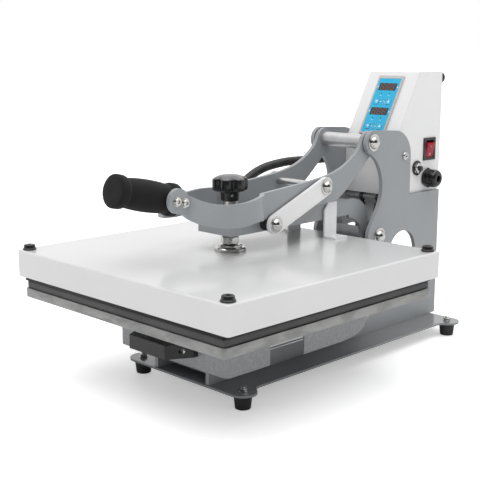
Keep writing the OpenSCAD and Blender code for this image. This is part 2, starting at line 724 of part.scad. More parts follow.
// Puts its children on both struts, z running down from the top pin to the bottom pin
module on_strut() {
    both() translate([strut_x, spring_top[0], spring_top[1]]) rotate([180 - strut_a, 0, 0]) children();
}
module strut_eye(r, bore) {
    rotate([0, 90, 0]) difference() {
        cylinder(r = r, h = 5, center = true);
        cylinder(r = bore, h = 7, center = true);
    }
}
module strut_cylinders() {
    tube_r = 5.2;
    color("black") at_bed() on_strut() difference() {
        union() {
            strut_eye(6, 4 + run_fit);
            at(0, 0, 5.2) cylinder(r = 3.4, h = 5);
            at(0, 0, 9) cylinder(r = tube_r, h = strut_l - 26);
        }
        at(0, 0, 13) cylinder(r = 2.5 + run_fit, h = strut_l);
    }
}
module strut_rods() {
    color("silver") at_bed() on_strut() {
        at(0, 0, 15) cylinder(r = 2.5, h = strut_l - 15 - 5.4);
        at(0, 0, strut_l) strut_eye(6.4, pin_r + eye_play);
    }
}
cable_r = 6.5;
cable_sides = 10;
cable_route = [[-46, 344, 264], [-59, 342, 265], [-70, 332, 266], [-75, 312, 266.5], [-76, 284, 267],
    [-76, 256, 268], [-76, 228, 269], [-76, 200, 269.5], [-76, 174, 268], [-76, 148, 264.5],
    [-76, 124, 257], [-76, 104, 245.5], [-76, 88, 230], [-76, 79, 213], [-76, 78, 202], [-76, 78, 192.2]];
module heater_cable() {
    path = smooth([for (p = cable_route) [p[0], p[1] + half_w - 190, p[2] + cover_top - 174.8]], 2);
    n = len(path);
    ring = function (i) let (t = unit(path[min(i + 1, n - 1)] - path[max(i - 1, 0)]),
        a = unit(cross(t, abs(t[2]) > 0.8 ? [0, 1, 0] : [0, 0, 1])), b = cross(t, a))
        [for (k = [0:cable_sides - 1]) path[i] + cable_r * (cos(360 / cable_sides * k) * a
            + sin(360 / cable_sides * k) * b)];
    points = [for (i = [0:n - 1]) each ring(i)];
    faces = concat([[for (k = [0:cable_sides - 1]) k]],
        [for (i = [0:n - 2]) for (k = [0:cable_sides - 1]) let (a = i * cable_sides, j = (k + 1) % cable_sides)
            [a + k, a + cable_sides + k, a + cable_sides + j, a + j]],
        [[for (k = [cable_sides - 1:-1:0]) (n - 1) * cable_sides + k]]);
    color("black") at_bed() polyhedron(points, faces);
}

// ---- Drawer ----
module drawer_tray() {
    hw = tray_w / 2;
    y0 = -half_w + 88;
    y1 = half_w - 22;
    r = 8;
    notch = [-27, 37];
    color("lightgray") at_bed() difference() {
        union() {
            at(0, 0, tray_z) linear_extrude(tray_h) difference() {
                union() {
                    translate([-hw, y0 + r]) square([2 * hw, y1 - y0 - r]);
                    translate([-hw + r, y0]) square([2 * hw - 2 * r, 2 * r]);
                    for (x = [-1, 1]) translate([x * (hw - r), y0 + r]) circle(r = r);
                }
                translate([-hw + tray_sheet, y0 + r]) square([2 * hw - 2 * tray_sheet, y1 - y0]);
                translate([-hw + r, y0 + tray_sheet]) square([2 * hw - 2 * r, 2 * r]);
                for (x = [-1, 1]) translate([x * (hw - r), y0 + r]) circle(r = r - tray_sheet);
            }
            box_at([-hw + 1, y0 + r, tray_top - tray_sheet], [hw - 1, y1, tray_top]);
        }
        x_plate(-hw - 1, hw + 1) polygon([[notch[0], tray_z - 1], [notch[0], tray_top - 12],
            [notch[1], tray_top - 12], [notch[1], tray_z - 1]]);
        x_plate(-hw - 1, hw + 1) polygon([[y1 - 60, tray_z - 1], [y1 - 24, tray_z + 3], [y1 - 8, tray_z + 10],
            [y1 + 1, tray_z + 24], [y1 + 1, tray_z - 1]]);
        for (p = pull_screws) at(p, y0 - 1, pull_z) rotate([-90, 0, 0]) cylinder(r = 2.1, h = 5);
    }
}
rail_x = side_out + rail_t;
module bed_plate() { color("silver") at_bed() rounded_slab(platen_w, platen_w, tray_top, bed_z, 4); }
module silicone_pad() {
    color("dimgray") at_bed() rounded_slab(platen_w - 4, platen_w - 4, bed_z, pad_top, 2);
}
pull_z = tray_z + 26;
pull_half = 38;
pull_reach = 38;
pull_screws = [-pull_half - 6, pull_half + 6];
module pull_handle() {
    y0 = -half_w + 88;
    color("black") at_bed() difference() {
        at(0, y0, pull_z - 9) linear_extrude(18) difference() {
            polygon([[-pull_half - 14, 0], [-pull_half - 14, -7], [-pull_half, -pull_reach + 8],
                [-pull_half + 4, -pull_reach], [pull_half - 4, -pull_reach], [pull_half, -pull_reach + 8],
                [pull_half + 14, -7], [pull_half + 14, 0]]);
            polygon([[-pull_half - 2, 1], [-pull_half + 6, -pull_reach + 17], [pull_half - 6, -pull_reach + 17],
                [pull_half + 2, 1]]);
        }
        for (p = pull_screws) at(p, y0 + 1, pull_z) rotate([90, 0, 0]) cylinder(r = 2.1, h = 40);
    }
}
module rail_profile_c(z0, z1, x0, x1, lip) {
    box_at([x0, 0, z0], [x0 + lip, rail_l, z1]);
    box_at([x0, 0, z0], [x1, rail_l, z0 + lip]);
    box_at([x0, 0, z1 - lip], [x1, rail_l, z1]);
}
module fixed_rails() {
    color("gray") at_bed() both() at(0, rail_y0, 0)
        rail_profile_c(rail_z, rail_z + rail_h, side_out, side_out + rail_t - 3, rail_lip);
}
module mid_rails() {
    color("lightgray") at_bed() both() at(0, rail_y0, 0)
        rail_profile_c(rail_z + 3, rail_z + rail_h - 3, side_out + rail_lip + 1, side_out + rail_t - 3, rail_lip);
}
module inner_rails() {
    color("gainsboro") at_bed() both() at(0, rail_y0, 0) {
        box_at([rail_x - 7, 0, rail_z + 6], [rail_x, rail_l, rail_z + rail_h - 6]);
        box_at([rail_x, 0, rail_z + 6], [rail_x + 3, rail_l, tray_top - tray_sheet]);
    }
}

base_plate();
rubber_feet();
foot_bolts();
left_side_plate();
right_side_plate();
rear_brace();
tie_rods();
case_screws();
control_box();
back_panel();
rear_bumpers();
display_bezel();
display_label();
controller_board();
switch_bezel();
rocker();
fuse_holder();
mains_gland();
temp_up_key();
temp_down_key();
time_up_key();
time_down_key();
tower_axles();
axle_nuts();
fixed_rails();
strut_cylinders();
strut_rods();
heater_cable();
arm_side_plates();
arm_top_plate();
screw_block();
arm_bushes();
toggle_axle();
upper_cover();
heating_platen();
heating_element();
insulation_blanket();
cover_caps();
guide_brackets();
thrust_collar();
platen_gland();
pressure_screw();
pressure_knob();
lock_nut();
left_handle_arm();
right_handle_arm();
spacer_tube();
link_axle();
link_axle_nuts();
grip_core();
foam_grip();
grip_bolts();
link_bars();
link_stubs();
bed_plate();
silicone_pad();
drawer_tray();
pull_handle();
inner_rails();
mid_rails();
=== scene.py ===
import json
import math

import bpy
from mathutils import Matrix, Vector


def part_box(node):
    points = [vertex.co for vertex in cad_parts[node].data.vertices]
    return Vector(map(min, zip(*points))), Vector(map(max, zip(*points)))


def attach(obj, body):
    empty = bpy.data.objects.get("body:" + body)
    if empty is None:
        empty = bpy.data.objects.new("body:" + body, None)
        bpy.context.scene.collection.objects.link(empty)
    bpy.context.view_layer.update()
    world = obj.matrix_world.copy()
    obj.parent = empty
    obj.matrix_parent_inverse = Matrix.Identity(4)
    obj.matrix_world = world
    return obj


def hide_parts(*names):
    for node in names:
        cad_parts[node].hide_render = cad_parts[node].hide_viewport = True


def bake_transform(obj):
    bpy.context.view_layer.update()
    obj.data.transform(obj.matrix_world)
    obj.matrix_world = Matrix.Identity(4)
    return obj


bl_info = {
    "name": "Heat press",
    "version": (1, 0, 0),
    "blender": (4, 5, 0),
    "location": "3D View > Sidebar > Heat press",
    "description": "Clamshell heat press with its finishes, small parts and a plain studio",
    "category": "Object",
}

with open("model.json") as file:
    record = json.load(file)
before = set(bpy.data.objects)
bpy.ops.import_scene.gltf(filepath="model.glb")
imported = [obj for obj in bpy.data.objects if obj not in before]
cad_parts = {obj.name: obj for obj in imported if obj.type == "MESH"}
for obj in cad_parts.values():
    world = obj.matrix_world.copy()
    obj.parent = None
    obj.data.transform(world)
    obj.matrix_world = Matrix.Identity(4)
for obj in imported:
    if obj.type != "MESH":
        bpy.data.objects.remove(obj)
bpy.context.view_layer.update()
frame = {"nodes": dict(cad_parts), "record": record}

# Sizes in metres that more than one piece shares, the grip's rise in degrees, and the floor's own light
TOWER_NUT_R = 0.0098
LINK_NUT_R = 0.0085
CAP_R = 0.0088
GRIP_TILT = 12.7
FLOOR_GLOW = 0.40
NODES = frame["nodes"]
MM = 0.001
FINISHES = {}


# ---- Node maths ----

class Value:
    """A number that varies over a surface; arithmetic on it adds Math nodes."""

    def __init__(self, finish, socket):
        self.finish = finish
        self.socket = socket

    def _math(self, operation, *inputs):
        made = self.finish.node("ShaderNodeMath", {"operation": operation}, dict(enumerate(inputs)))
        return Value(self.finish, made.outputs[0])

    def __add__(self, other):
        return self._math("ADD", self, other)

    def __sub__(self, other):
        return self._math("SUBTRACT", self, other)

    def __mul__(self, other):
        return self._math("MULTIPLY", self, other)

    def __truediv__(self, other):
        return self._math("DIVIDE", self, other)

    def __radd__(self, other):
        return self._math("ADD", other, self)

    def __rsub__(self, other):
        return self._math("SUBTRACT", other, self)

    def __rmul__(self, other):
        return self._math("MULTIPLY", other, self)

    def __gt__(self, other):
        return self._math("GREATER_THAN", self, other)

    def __lt__(self, other):
        return self._math("LESS_THAN", self, other)

    def __pow__(self, other):
        return self._math("POWER", self, other)

    def clamp(self):
        return self._math("MINIMUM", self._math("MAXIMUM", self, 0.0), 1.0)

    def wave(self, per_metre):
        return self._math("SINE", self * (2 * math.pi * per_metre))

    def ramp(self, low, high):
        """0 below low and 1 above high, with a smooth rise between."""
        made = self.finish.node("ShaderNodeMapRange", {"interpolation_type": "SMOOTHSTEP"},
                                {"Value": self, "From Min": low, "From Max": high})
        return Value(self.finish, made.outputs[0])


class Finish:
    """One named material, made from nodes."""

    def __init__(self, name, color, roughness=0.5, metallic=0.0, **fixed):
        self.material = bpy.data.materials.new(name)
        self.material.use_nodes = True
        self.tree = self.material.node_tree
        self.shader = next(n for n in self.tree.nodes if n.type == "BSDF_PRINCIPLED")
        self.color = tuple(color)[:3] + (1.0,)
        self.shader.inputs["Base Color"].default_value = self.color
        self.shader.inputs["Roughness"].default_value = roughness
        self.shader.inputs["Metallic"].default_value = metallic
        for socket, value in fixed.items():
            self.shader.inputs[socket.replace("_", " ")].default_value = value
        self.material.diffuse_color = self.color
        self.place = self.node("ShaderNodeTexCoord").outputs["Object"]
        FINISHES[name] = self.material

    def link(self, value, socket):
        if isinstance(value, Value):
            value = value.socket
        if isinstance(value, bpy.types.NodeSocket):
            self.tree.links.new(value, socket)
        else:
            socket.default_value = value

    def node(self, kind, settings=None, inputs=None):
        made = self.tree.nodes.new(kind)
        for key, value in (settings or {}).items():
            if key == "stops":
                ramp = made.color_ramp
                while len(ramp.elements) < len(value):
                    ramp.elements.new(0.5)
                for element, (at, color) in zip(ramp.elements, value):
                    element.position = at
                    element.color = color
            else:
                setattr(made, key, value)
        for key, value in (inputs or {}).items():
            self.link(value, made.inputs[key])
        return made

    def stretched(self, x, y, z):
        return self.node("ShaderNodeVectorMath", {"operation": "MULTIPLY"},
                         {0: self.place, 1: (x, y, z)}).outputs[0]

    def axis(self, name):
        split = self.node("ShaderNodeSeparateXYZ", None, {0: self.place})
        return Value(self, split.outputs[name])

    def noise(self, scale, detail=4.0, rough=0.55, place=None, twist=0.0):
        made = self.node("ShaderNodeTexNoise", None, {
            "Vector": place or self.place, "Scale": scale, "Detail": detail,
            "Roughness": rough, "Distortion": twist})
        return Value(self, made.outputs["Fac"])

    def cells(self, scale, place=None, feature="F1"):
        made = self.node("ShaderNodeTexVoronoi", {"feature": feature},
                         {"Vector": place or self.place, "Scale": scale})
        return Value(self, made.outputs["Distance"])

    def mix(self, low, high, amount):
        made = self.node("ShaderNodeMix", {"data_type": "RGBA"})
        self.link(amount, made.inputs[0])
        self.link(low, made.inputs[6])
        self.link(high, made.inputs[7])
        return made.outputs[2]

    def shade(self, factor):
        return tuple(min(1.0, c * factor) for c in self.color[:3]) + (1.0,)

    def edge(self, radius):
        return self.node("ShaderNodeBevel", {"samples": 4}, {"Radius": radius}).outputs[0]

    def outer_edges(self, radius):
        """About 1 along outside edges, 0 on flats."""
        bevel = self.node("ShaderNodeBevel", {"samples": 4}, {"Radius": radius}).outputs[0]
        flat = self.node("ShaderNodeNewGeometry").outputs["Normal"]
        dot = self.node("ShaderNodeVectorMath", {"operation": "DOT_PRODUCT"}, {0: bevel, 1: flat})
        return Value(self, dot.outputs["Value"]).ramp(0.99, 0.80)

    def put(self, color=None, roughness=None, metallic=None, coat=None, glow=None):
        for value, name in ((color, "Base Color"), (roughness, "Roughness"), (metallic, "Metallic"),
                            (coat, "Coat Weight"), (glow, "Emission Color")):
            if value is not None:
                self.link(value, self.shader.inputs[name])

    def relief(self, height, depth, strength=1.0, edge=0.0):
        inputs = {"Height": height, "Distance": depth, "Strength": strength}
        if edge:
            inputs["Normal"] = self.edge(edge)
        self.link(self.node("ShaderNodeBump", None, inputs).outputs[0], self.shader.inputs["Normal"])


# ---- Finishes ----

def powder_coat(name, color, roughness, edge, peel=0.00006, coat=0.0, dust=0.06):
    f = Finish(name, color, roughness, Coat_Roughness=0.12, Specular_IOR_Level=0.5)
    broad = f.noise(7, 3)
    fine = f.noise(240, 3)
    scuff = f.noise(90, 6, 0.7, f.stretched(1, 1, 5), 0.6).ramp(0.66, 0.80)
    outer_edges = f.outer_edges(edge * 1.6) * f.noise(60, 3).ramp(0.45, 0.75)
    body = f.mix(f.shade(1 - dust), f.shade(1 + dust * 0.5), broad.ramp(0.3, 0.7))
    body = f.mix(body, f.shade(0.86), scuff * 0.22)
    f.put(color=f.mix(body, f.shade(1.35), outer_edges * 0.35),
          roughness=roughness + 0.10 * (fine - 0.5) + 0.10 * scuff, coat=coat + 0.05 * broad)
    f.relief(f.noise(900, 2) + 0.6 * f.noise(330, 2), peel, 0.8, edge)
    return f


def plain_plastic(name, color, roughness, edge, grain=1400, depth=0.00004):
    f = Finish(name, color, roughness)
    speck = f.noise(grain, 2)
    broad = f.noise(30, 4)
    f.put(color=f.mix(f.shade(0.8), f.shade(1.35), broad.ramp(0.35, 0.7)),
          roughness=roughness + 0.12 * (broad - 0.5) + 0.08 * f.outer_edges(edge * 1.5))
    f.relief(speck + f.noise(400, 2), depth, 0.7, edge)
    return f


def bright_metal(name, color, roughness, edge, brushed=(1, 1, 1), scratch=0.000012):
    f = Finish(name, color, roughness, 1.0)
    place = f.stretched(*brushed)
    lines = f.noise(500, 5, 0.7, place)
    smear = f.noise(45, 4)
    f.put(color=f.mix(f.shade(0.90), f.shade(1.06), smear.ramp(0.25, 0.75)),
          roughness=roughness + 0.10 * (smear - 0.5) + 0.12 * (lines - 0.5))
    f.relief(lines, scratch, 0.8, edge)
    return f


def make_finishes(looks):
    powder_coat("grey_coat", looks.frame_grey, 0.36, 0.0009, 0.00005)
    # The base paint is set at 0.54 of the base grey, darker than the drawer's 0.72: painted shade for the
    # base lying under the drawer.
    powder_coat("base_shaded_coat", tuple(0.54 * v for v in looks.base_grey), 0.22, 0.0008, 0.00001, 0.5)
    powder_coat("tray_coat", tuple(0.72 * v for v in looks.base_grey), 0.27, 0.0008, 0.00002, 0.2)
    powder_coat("bezel_grey", (0.56, 0.54, 0.53), 0.42, 0.0006, 0.00003)
    # The cover white is set darker and the box white lighter than their one white paint: painted shade on the
    # low cover, painted light on the high box.
    powder_coat("white_coat", looks.cover_white_shaded, 0.20, 0.0012, 0.00002, 0.25, 0.02)
    powder_coat("box_white_lit", looks.box_white_lit, 0.36, 0.0012, 0.00005, 0.0, 0.02)
    powder_coat("black_enamel", (0.012, 0.012, 0.013), 0.25, 0.0005, 0.00002, 0.3)
    plain_plastic("black_plastic", (0.014, 0.014, 0.015), 0.42, 0.0006)
    plain_plastic("gloss_black", (0.010, 0.010, 0.011), 0.22, 0.0006, 900, 0.00002)
    plain_plastic("knob_top", (0.11, 0.11, 0.115), 0.24, 0.0006, 1100, 0.00003)
    plain_plastic("foot_rubber", (0.016, 0.016, 0.016), 0.62, 0.0007, 700, 0.00009)
    bright_metal("bright_steel", (0.56, 0.555, 0.54), 0.10, 0.0003)
    bright_metal("ground_steel", (0.60, 0.60, 0.60), 0.28, 0.0004, (30, 1, 1))
    bright_metal("satin_tube", (0.56, 0.56, 0.57), 0.46, 0.0004, (0.2, 1, 1), 0.000004)
    bright_metal("turned_steel", (0.55, 0.54, 0.52), 0.24, 0.0004, (1, 1, 20))
    bright_metal("zinc_sheet", (0.62, 0.63, 0.64), 0.32, 0.0004, (1, 0.2, 3))

    f = Finish("milled_alloy", looks.plate_alloy, 0.42, 1.0)
    cut = f.noise(60, 5, 0.75, f.stretched(1, 1, 22))
    blotch = f.noise(26, 5, 0.62, f.stretched(1, 1, 2.4), 0.7)
    pits = f.cells(420).ramp(0.06, 0.16)
    outer_edges = f.outer_edges(0.0012)
    tone = f.mix(f.shade(0.80), f.shade(1.16), blotch.ramp(0.34, 0.66))
    tone = f.mix(tone, f.shade(0.66), (1 - pits) * 0.45)
    # Outside edges lightened toward 1.9 times the alloy: partly edge wear, partly a painted highlight along
    # the edges.
    f.put(color=f.mix(tone, f.shade(1.9), outer_edges * 0.8),
          roughness=0.48 + 0.12 * (blotch - 0.5) + 0.18 * (cut - 0.5))
    f.relief(cut + 0.5 * pits, 0.00012, 0.8, 0.0008)

    # The heater's near-black colour is its coating, darkened further as painted shade for the shadow line
    # under the cover.
    f = Finish("heater_casting", looks.heater_black_and_shade, 0.46, 0.15, Specular_IOR_Level=0.25)
    grain = f.noise(700, 3)
    heat = f.noise(18, 4, 0.6, None, 0.5)
    f.put(color=f.mix(f.shade(0.7), f.shade(1.6), heat.ramp(0.3, 0.75)), roughness=0.42 + 0.25 * (heat - 0.3))
    f.relief(grain, 0.00008, 0.8, 0.0008)

    f = Finish("pad_silicone", looks.pad_grey, 0.62)
    pores = f.cells(900)
    haze = f.noise(14, 5, 0.6)
    f.put(color=f.mix(f.shade(0.75), f.shade(1.30), haze.ramp(0.3, 0.7)), roughness=0.60 + 0.2 * (haze - 0.5))
    f.relief(pores + f.noise(250, 3), 0.00010, 0.7, 0.0008)

    f = Finish("element_sheath", (0.20, 0.13, 0.09), 0.5, 0.8)
    f.put(color=f.mix((0.10, 0.07, 0.06, 1), (0.34, 0.22, 0.12, 1), f.noise(60, 4)),
          roughness=0.4 + 0.2 * f.noise(200))

    f = Finish("blanket_fibre", (0.62, 0.56, 0.42), 0.9)
    strands = f.noise(500, 6, 0.75, f.stretched(1, 5, 1))
    f.put(color=f.mix((0.48, 0.42, 0.30, 1), (0.75, 0.70, 0.56, 1), strands), roughness=0.85 + 0.1 * strands)
    f.relief(strands, 0.0006)

    f = Finish("grip_foam", looks.grip_black, 0.86, Sheen_Weight=0.04, Sheen_Roughness=0.5,
               Specular_IOR_Level=0.3)
    pores = f.cells(1500)
    lumps = f.noise(420, 4, 0.6)
    rub = f.noise(26, 4, 0.6)
    f.put(color=f.mix(f.shade(0.7), f.shade(1.9), (rub * 0.7 + pores * 0.5).ramp(0.35, 0.95)),
          roughness=0.80 + 0.12 * (rub - 0.3))
    f.relief(pores * 0.8 + lumps, 0.00022, 0.9)

    f = Finish("hose_jacket", (0.020, 0.020, 0.021), 0.45)
    weave = f.noise(900, 3)
    f.put(color=f.mix(f.shade(0.6), f.shade(1.9), f.noise(60, 4).ramp(0.3, 0.75)),
          roughness=0.40 + 0.2 * weave)
    f.relief(weave, 0.00006)

    f = Finish("label_film", looks.label_blue, 0.26, Coat_Weight=0.3, Coat_Roughness=0.06)
    mottle = f.noise(1500, 2)
    f.put(color=f.mix(f.shade(0.92), f.shade(1.06), f.noise(40, 3)), roughness=0.24 + 0.08 * mottle)
    f.relief(mottle, 0.00002, 0.6)

    f = Finish("print_white", (0.82, 0.90, 0.93), 0.35)
    f.put(roughness=0.32 + 0.1 * f.noise(900),
          color=f.mix((0.74, 0.86, 0.92, 1), (0.88, 0.93, 0.95, 1), f.noise(300)))

    f = Finish("key_film", tuple(1.12 * v + 0.01 for v in looks.label_blue), 0.28, Coat_Weight=0.4,
               Coat_Roughness=0.1)
    f.put(color=f.mix(f.shade(0.9), f.shade(1.05), f.noise(120, 2)), roughness=0.26 + 0.1 * f.noise(1200))
    f.relief(f.noise(1300, 2), 0.00002, 0.6, 0.0006)

    f = Finish("smoked_window", (0.030, 0.015, 0.013), 0.14, Coat_Weight=0.2, Coat_Roughness=0.03)
    f.put(roughness=0.08 + 0.08 * f.noise(120, 3))

    f = Finish("segment_dim", (0.15, 0.115, 0.105), 0.35)
    f.put(color=f.mix(f.shade(0.8), f.shade(1.2), f.noise(260, 2)))

    f = Finish("indicator", (0.02, 0.08, 0.20), 0.2, Coat_Weight=0.5)
    f.put(roughness=0.16 + 0.1 * f.noise(800))

    f = Finish("rocker_red", looks.rocker_red, 0.38, Specular_IOR_Level=0.3)
    f.put(color=f.mix(f.shade(0.75), f.shade(1.25), f.noise(90, 3)), roughness=0.32 + 0.12 * f.noise(240))
    f.relief(f.noise(700, 2), 0.00002, 0.5, 0.0010)

    f = Finish("board_green", (0.03, 0.16, 0.07), 0.35)
    tracks = (f.axis("X").wave(400) > 0.86)
    f.put(color=f.mix((0.03, 0.15, 0.07, 1), (0.10, 0.32, 0.13, 1), tracks),
          roughness=0.3 + 0.1 * f.noise(300))


# ---- Meshes ----

def collection(name):
    made = bpy.data.collections.get(name)
    if made is None:
        made = bpy.data.collections.new(name)
        bpy.context.scene.collection.children.link(made)
    return made


def piece(name, verts, faces, body, finish, slot=None, sharp=32.0, group="Press details"):
    mesh = bpy.data.meshes.new(name)
    mesh.from_pydata([tuple(v) for v in verts], [], faces)
    mesh.update()
    for polygon in mesh.polygons:
        polygon.use_smooth = True
    mesh.set_sharp_from_angle(angle=math.radians(sharp))
    made = bpy.data.objects.new(name, mesh)
    collection(group).objects.link(made)
    mesh.materials.append(FINISHES[finish])
    if body:
        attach(made, body)
    return made


def join(parts):
    verts, faces = [], []
    for v, f in parts:
        base = len(verts)
        verts += v
        faces += [tuple(base + i for i in face) for face in f]
    return verts, faces


def stack(loops, closed=False, cap_low=True, cap_high=True):
    """Quads between loops of equal length, from the first to the last."""
    n = len(loops[0])
    verts = [p for loop in loops for p in loop]
    faces = []
    spans = len(loops) if closed else len(loops) - 1
    for i in range(spans):
        a, b = i * n, ((i + 1) % len(loops)) * n
        faces += [(a + k, a + (k + 1) % n, b + (k + 1) % n, b + k) for k in range(n)]
    if not closed:
        if cap_low:
            faces.append(tuple(reversed(range(n))))
        if cap_high:
            faces.append(tuple((len(loops) - 1) * n + k for k in range(n)))
    return verts, faces


def box_loop(lo, hi, inset, z, corner, steps=6):
    r = max(corner - inset, 0.0003)
    x0, y0, x1, y1 = lo[0] + inset, lo[1] + inset, hi[0] - inset, hi[1] - inset
    loop = []
    for cx, cy, start in ((x1 - r, y1 - r, 0), (x0 + r, y1 - r, 90), (x0 + r, y0 + r, 180),
                          (x1 - r, y0 + r, 270)):
        for k in range(steps + 1):
            a = math.radians(start + 90 * k / steps)
            loop.append(Vector((cx + r * math.cos(a), cy + r * math.sin(a), z)))
    return loop


def slab(lo, hi, corner, profile, steps=6):
    return stack([box_loop(lo, hi, inset, z, corner, steps) for inset, z in profile])


def round_slab(lo, hi, corner, edge, steps=6, turns=3):
    """A block with rounded upright corners and rounded upper and lower edges."""
    arc = [(edge * (1 - math.sin(math.pi / 2 * k / turns)), edge * (1 - math.cos(math.pi / 2 * k / turns)))
           for k in range(turns + 1)]
    profile = [(inset, lo[2] + rise) for inset, rise in arc] + [(inset, hi[2] - rise) for inset,
                                                                rise in reversed(arc)]
    return slab(lo, hi, corner, profile, steps)


def toward(origin, axis, up=(0, 0, 1)):
    """A matrix whose z runs along axis from origin."""
    z = Vector(axis).normalized()
    u = Vector(up)
    if abs(z.dot(u)) > 0.95:
        u = Vector((0, 1, 0))
    x = u.cross(z).normalized()
    y = z.cross(x)
    m = Matrix((x, y, z)).transposed().to_4x4()
    m.translation = Vector(origin)
    return m


def turned(rings, where, count=40, closed=False):
    """Rings of (distance along, radius or radius of angle), round the z of where."""
    loops = []
    for z, r in rings:
        loop = []
        for k in range(count):
            a = 2 * math.pi * k / count
            radius = r(a) if callable(r) else r
            loop.append(where @ Vector((max(radius, 0.00002) * math.cos(a),
                                        max(radius, 0.00002) * math.sin(a), z)))
        loops.append(loop)
    return stack(loops, closed)


def hexagon(flat, limit=1.0):
    def radius(a):
        side = flat / math.cos((a + math.pi / 6) % (math.pi / 3) - math.pi / 6)
        return min(side, limit)
    return radius


def hex_rings(z0, z1, flat, low=True, high=True):
    """A hexagon bar with turned-off corners at its ends."""
    start, corner = flat * 0.97, flat * 1.1547
    drop = (corner - start) * 0.6
    rings = []
    if low:
        rings += [(z0, start * 0.97)] + [(z0 + drop * k / 3,
                                          hexagon(flat, start + (corner - start) * k / 3)) for k in range(4)]
    else:
        rings += [(z0, hexagon(flat))]
    if high:
        rings += [(z1 - drop * k / 3, hexagon(flat, start + (corner - start) * k / 3)) for k in (3, 2, 1, 0)]
        rings += [(z1, start * 0.97)]
    else:
        rings += [(z1, hexagon(flat))]
    return rings


def socket_rings(z, r, depth, flat):
    """The end face of a screw with a hexagon socket, from rim to floor."""
    return [(z, r), (z, flat * 1.35), (z - 0.0001, hexagon(flat)), (z - depth, hexagon(flat * 0.97)),
            (z - depth * 1.25, 0.0)]


def smooth_line(points, steps):
    out = []
    last = len(points) - 1
    for i in range(last):
        a, b, c, d = (points[max(i - 1, 0)], points[i], points[i + 1], points[min(i + 2, last)])
        for k in range(steps):
            t = k / steps
            out.append(0.5 * (2 * b + (c - a) * t + (2 * a - 5 * b + 4 * c - d) * t * t
                              + (3 * b - a - 3 * c + d) * t ** 3))
    out.append(points[last].copy())
    return out


def box(node):
    lo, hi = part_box(node)
    return Vector(lo), Vector(hi)


def middle(node):
    lo, hi = box(node)
    return (lo + hi) / 2


# ---- Pivots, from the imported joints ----

def pivot(name):
    for joint in frame["record"]["behaviour"]["joints"]:
        if joint["name"] == name:
            return Vector(joint["pos_m"])
    raise ValueError("no joint called " + name)


ARM_PIVOT = pivot("arm_hinge")
HANDLE_PIVOT = pivot("handle_hinge")
LINK_PIVOT = pivot("link_hinge")
TOGGLE = middle("toggle_axle")
BOX_LO, BOX_HI = box("control_box")
SLOPE_ANGLE = math.atan2(0.0994, 0.0565)
SLOPE = Matrix.Translation((0, BOX_LO.y, BOX_LO.z + 0.0806)) @ Matrix.Rotation(SLOPE_ANGLE, 4, "X")


# ---- Sizes and colours a user may change ----

def colour(name, text, value):
    return bpy.props.FloatVectorProperty(name=name, description=text, subtype="COLOR", size=3,
                                         min=0.0, max=1.0, default=value)


def length(name, text, value):
    return bpy.props.FloatProperty(name=name, description=text, unit="LENGTH", subtype="DISTANCE",
                                   default=value)


class PressLooks(bpy.types.PropertyGroup):
    """Colours of the press."""
    frame_grey: colour("Frame grey", "Coated steel of the tower, arm and handle", (0.315, 0.331, 0.345))
    base_grey: colour("Base grey", "Coated steel of the base and the drawer", (0.40, 0.41, 0.425))
    # Cover white darker and box white lighter than their one white paint: painted shade on the low cover,
    # painted light on the high box.
    cover_white_shaded: colour("Cover white", "Coated steel of the platen cover", (0.70, 0.70, 0.70))
    box_white_lit: colour("Box white", "Coated steel of the control box and links", (0.84, 0.84, 0.845))
    plate_alloy: colour("Bed alloy", "Milled edge of the bed plate", (0.30, 0.30, 0.297))
    # Heater colour: black coating, darkened further as painted shade for the shadow line under the cover.
    heater_black_and_shade: colour("Heater", "Coated heating platen", (0.008, 0.008, 0.008))
    pad_grey: colour("Pad", "Silicone pad", (0.064, 0.064, 0.065))
    grip_black: colour("Grip", "Foam of the grip", (0.006, 0.006, 0.006))
    label_blue: colour("Label", "Film of the display", (0.0, 0.46, 0.76))
    rocker_red: colour("Rocker", "Mains switch", (0.34, 0.002, 0.022))
    floor_white: colour("Floor", "Studio floor", (0.95, 0.95, 0.95))


class PressSizes(bpy.types.PropertyGroup):
    """Sizes of the small details."""
    cover_edge: length("Cover edge", "Radius of the cover's upper edge", 0.0028)
    thread_pitch: length("Thread pitch", "Pitch of the pressure screw", 0.002)
    hose_rib: length("Hose rib", "Distance between the ribs of the heater cable", 0.0026)
    hose_diameter: length("Hose diameter", "Outside diameter of the heater cable", 0.013)
    foam_swell: length("Foam swell", "How far the foam swells between its flanges", 0.0016)
    softbox: length("Softbox", "Width of the main studio light", 1.8)


def looks():
    return bpy.context.scene.press_looks


def sizes():
    return bpy.context.scene.press_sizes


# ---- Operators ----

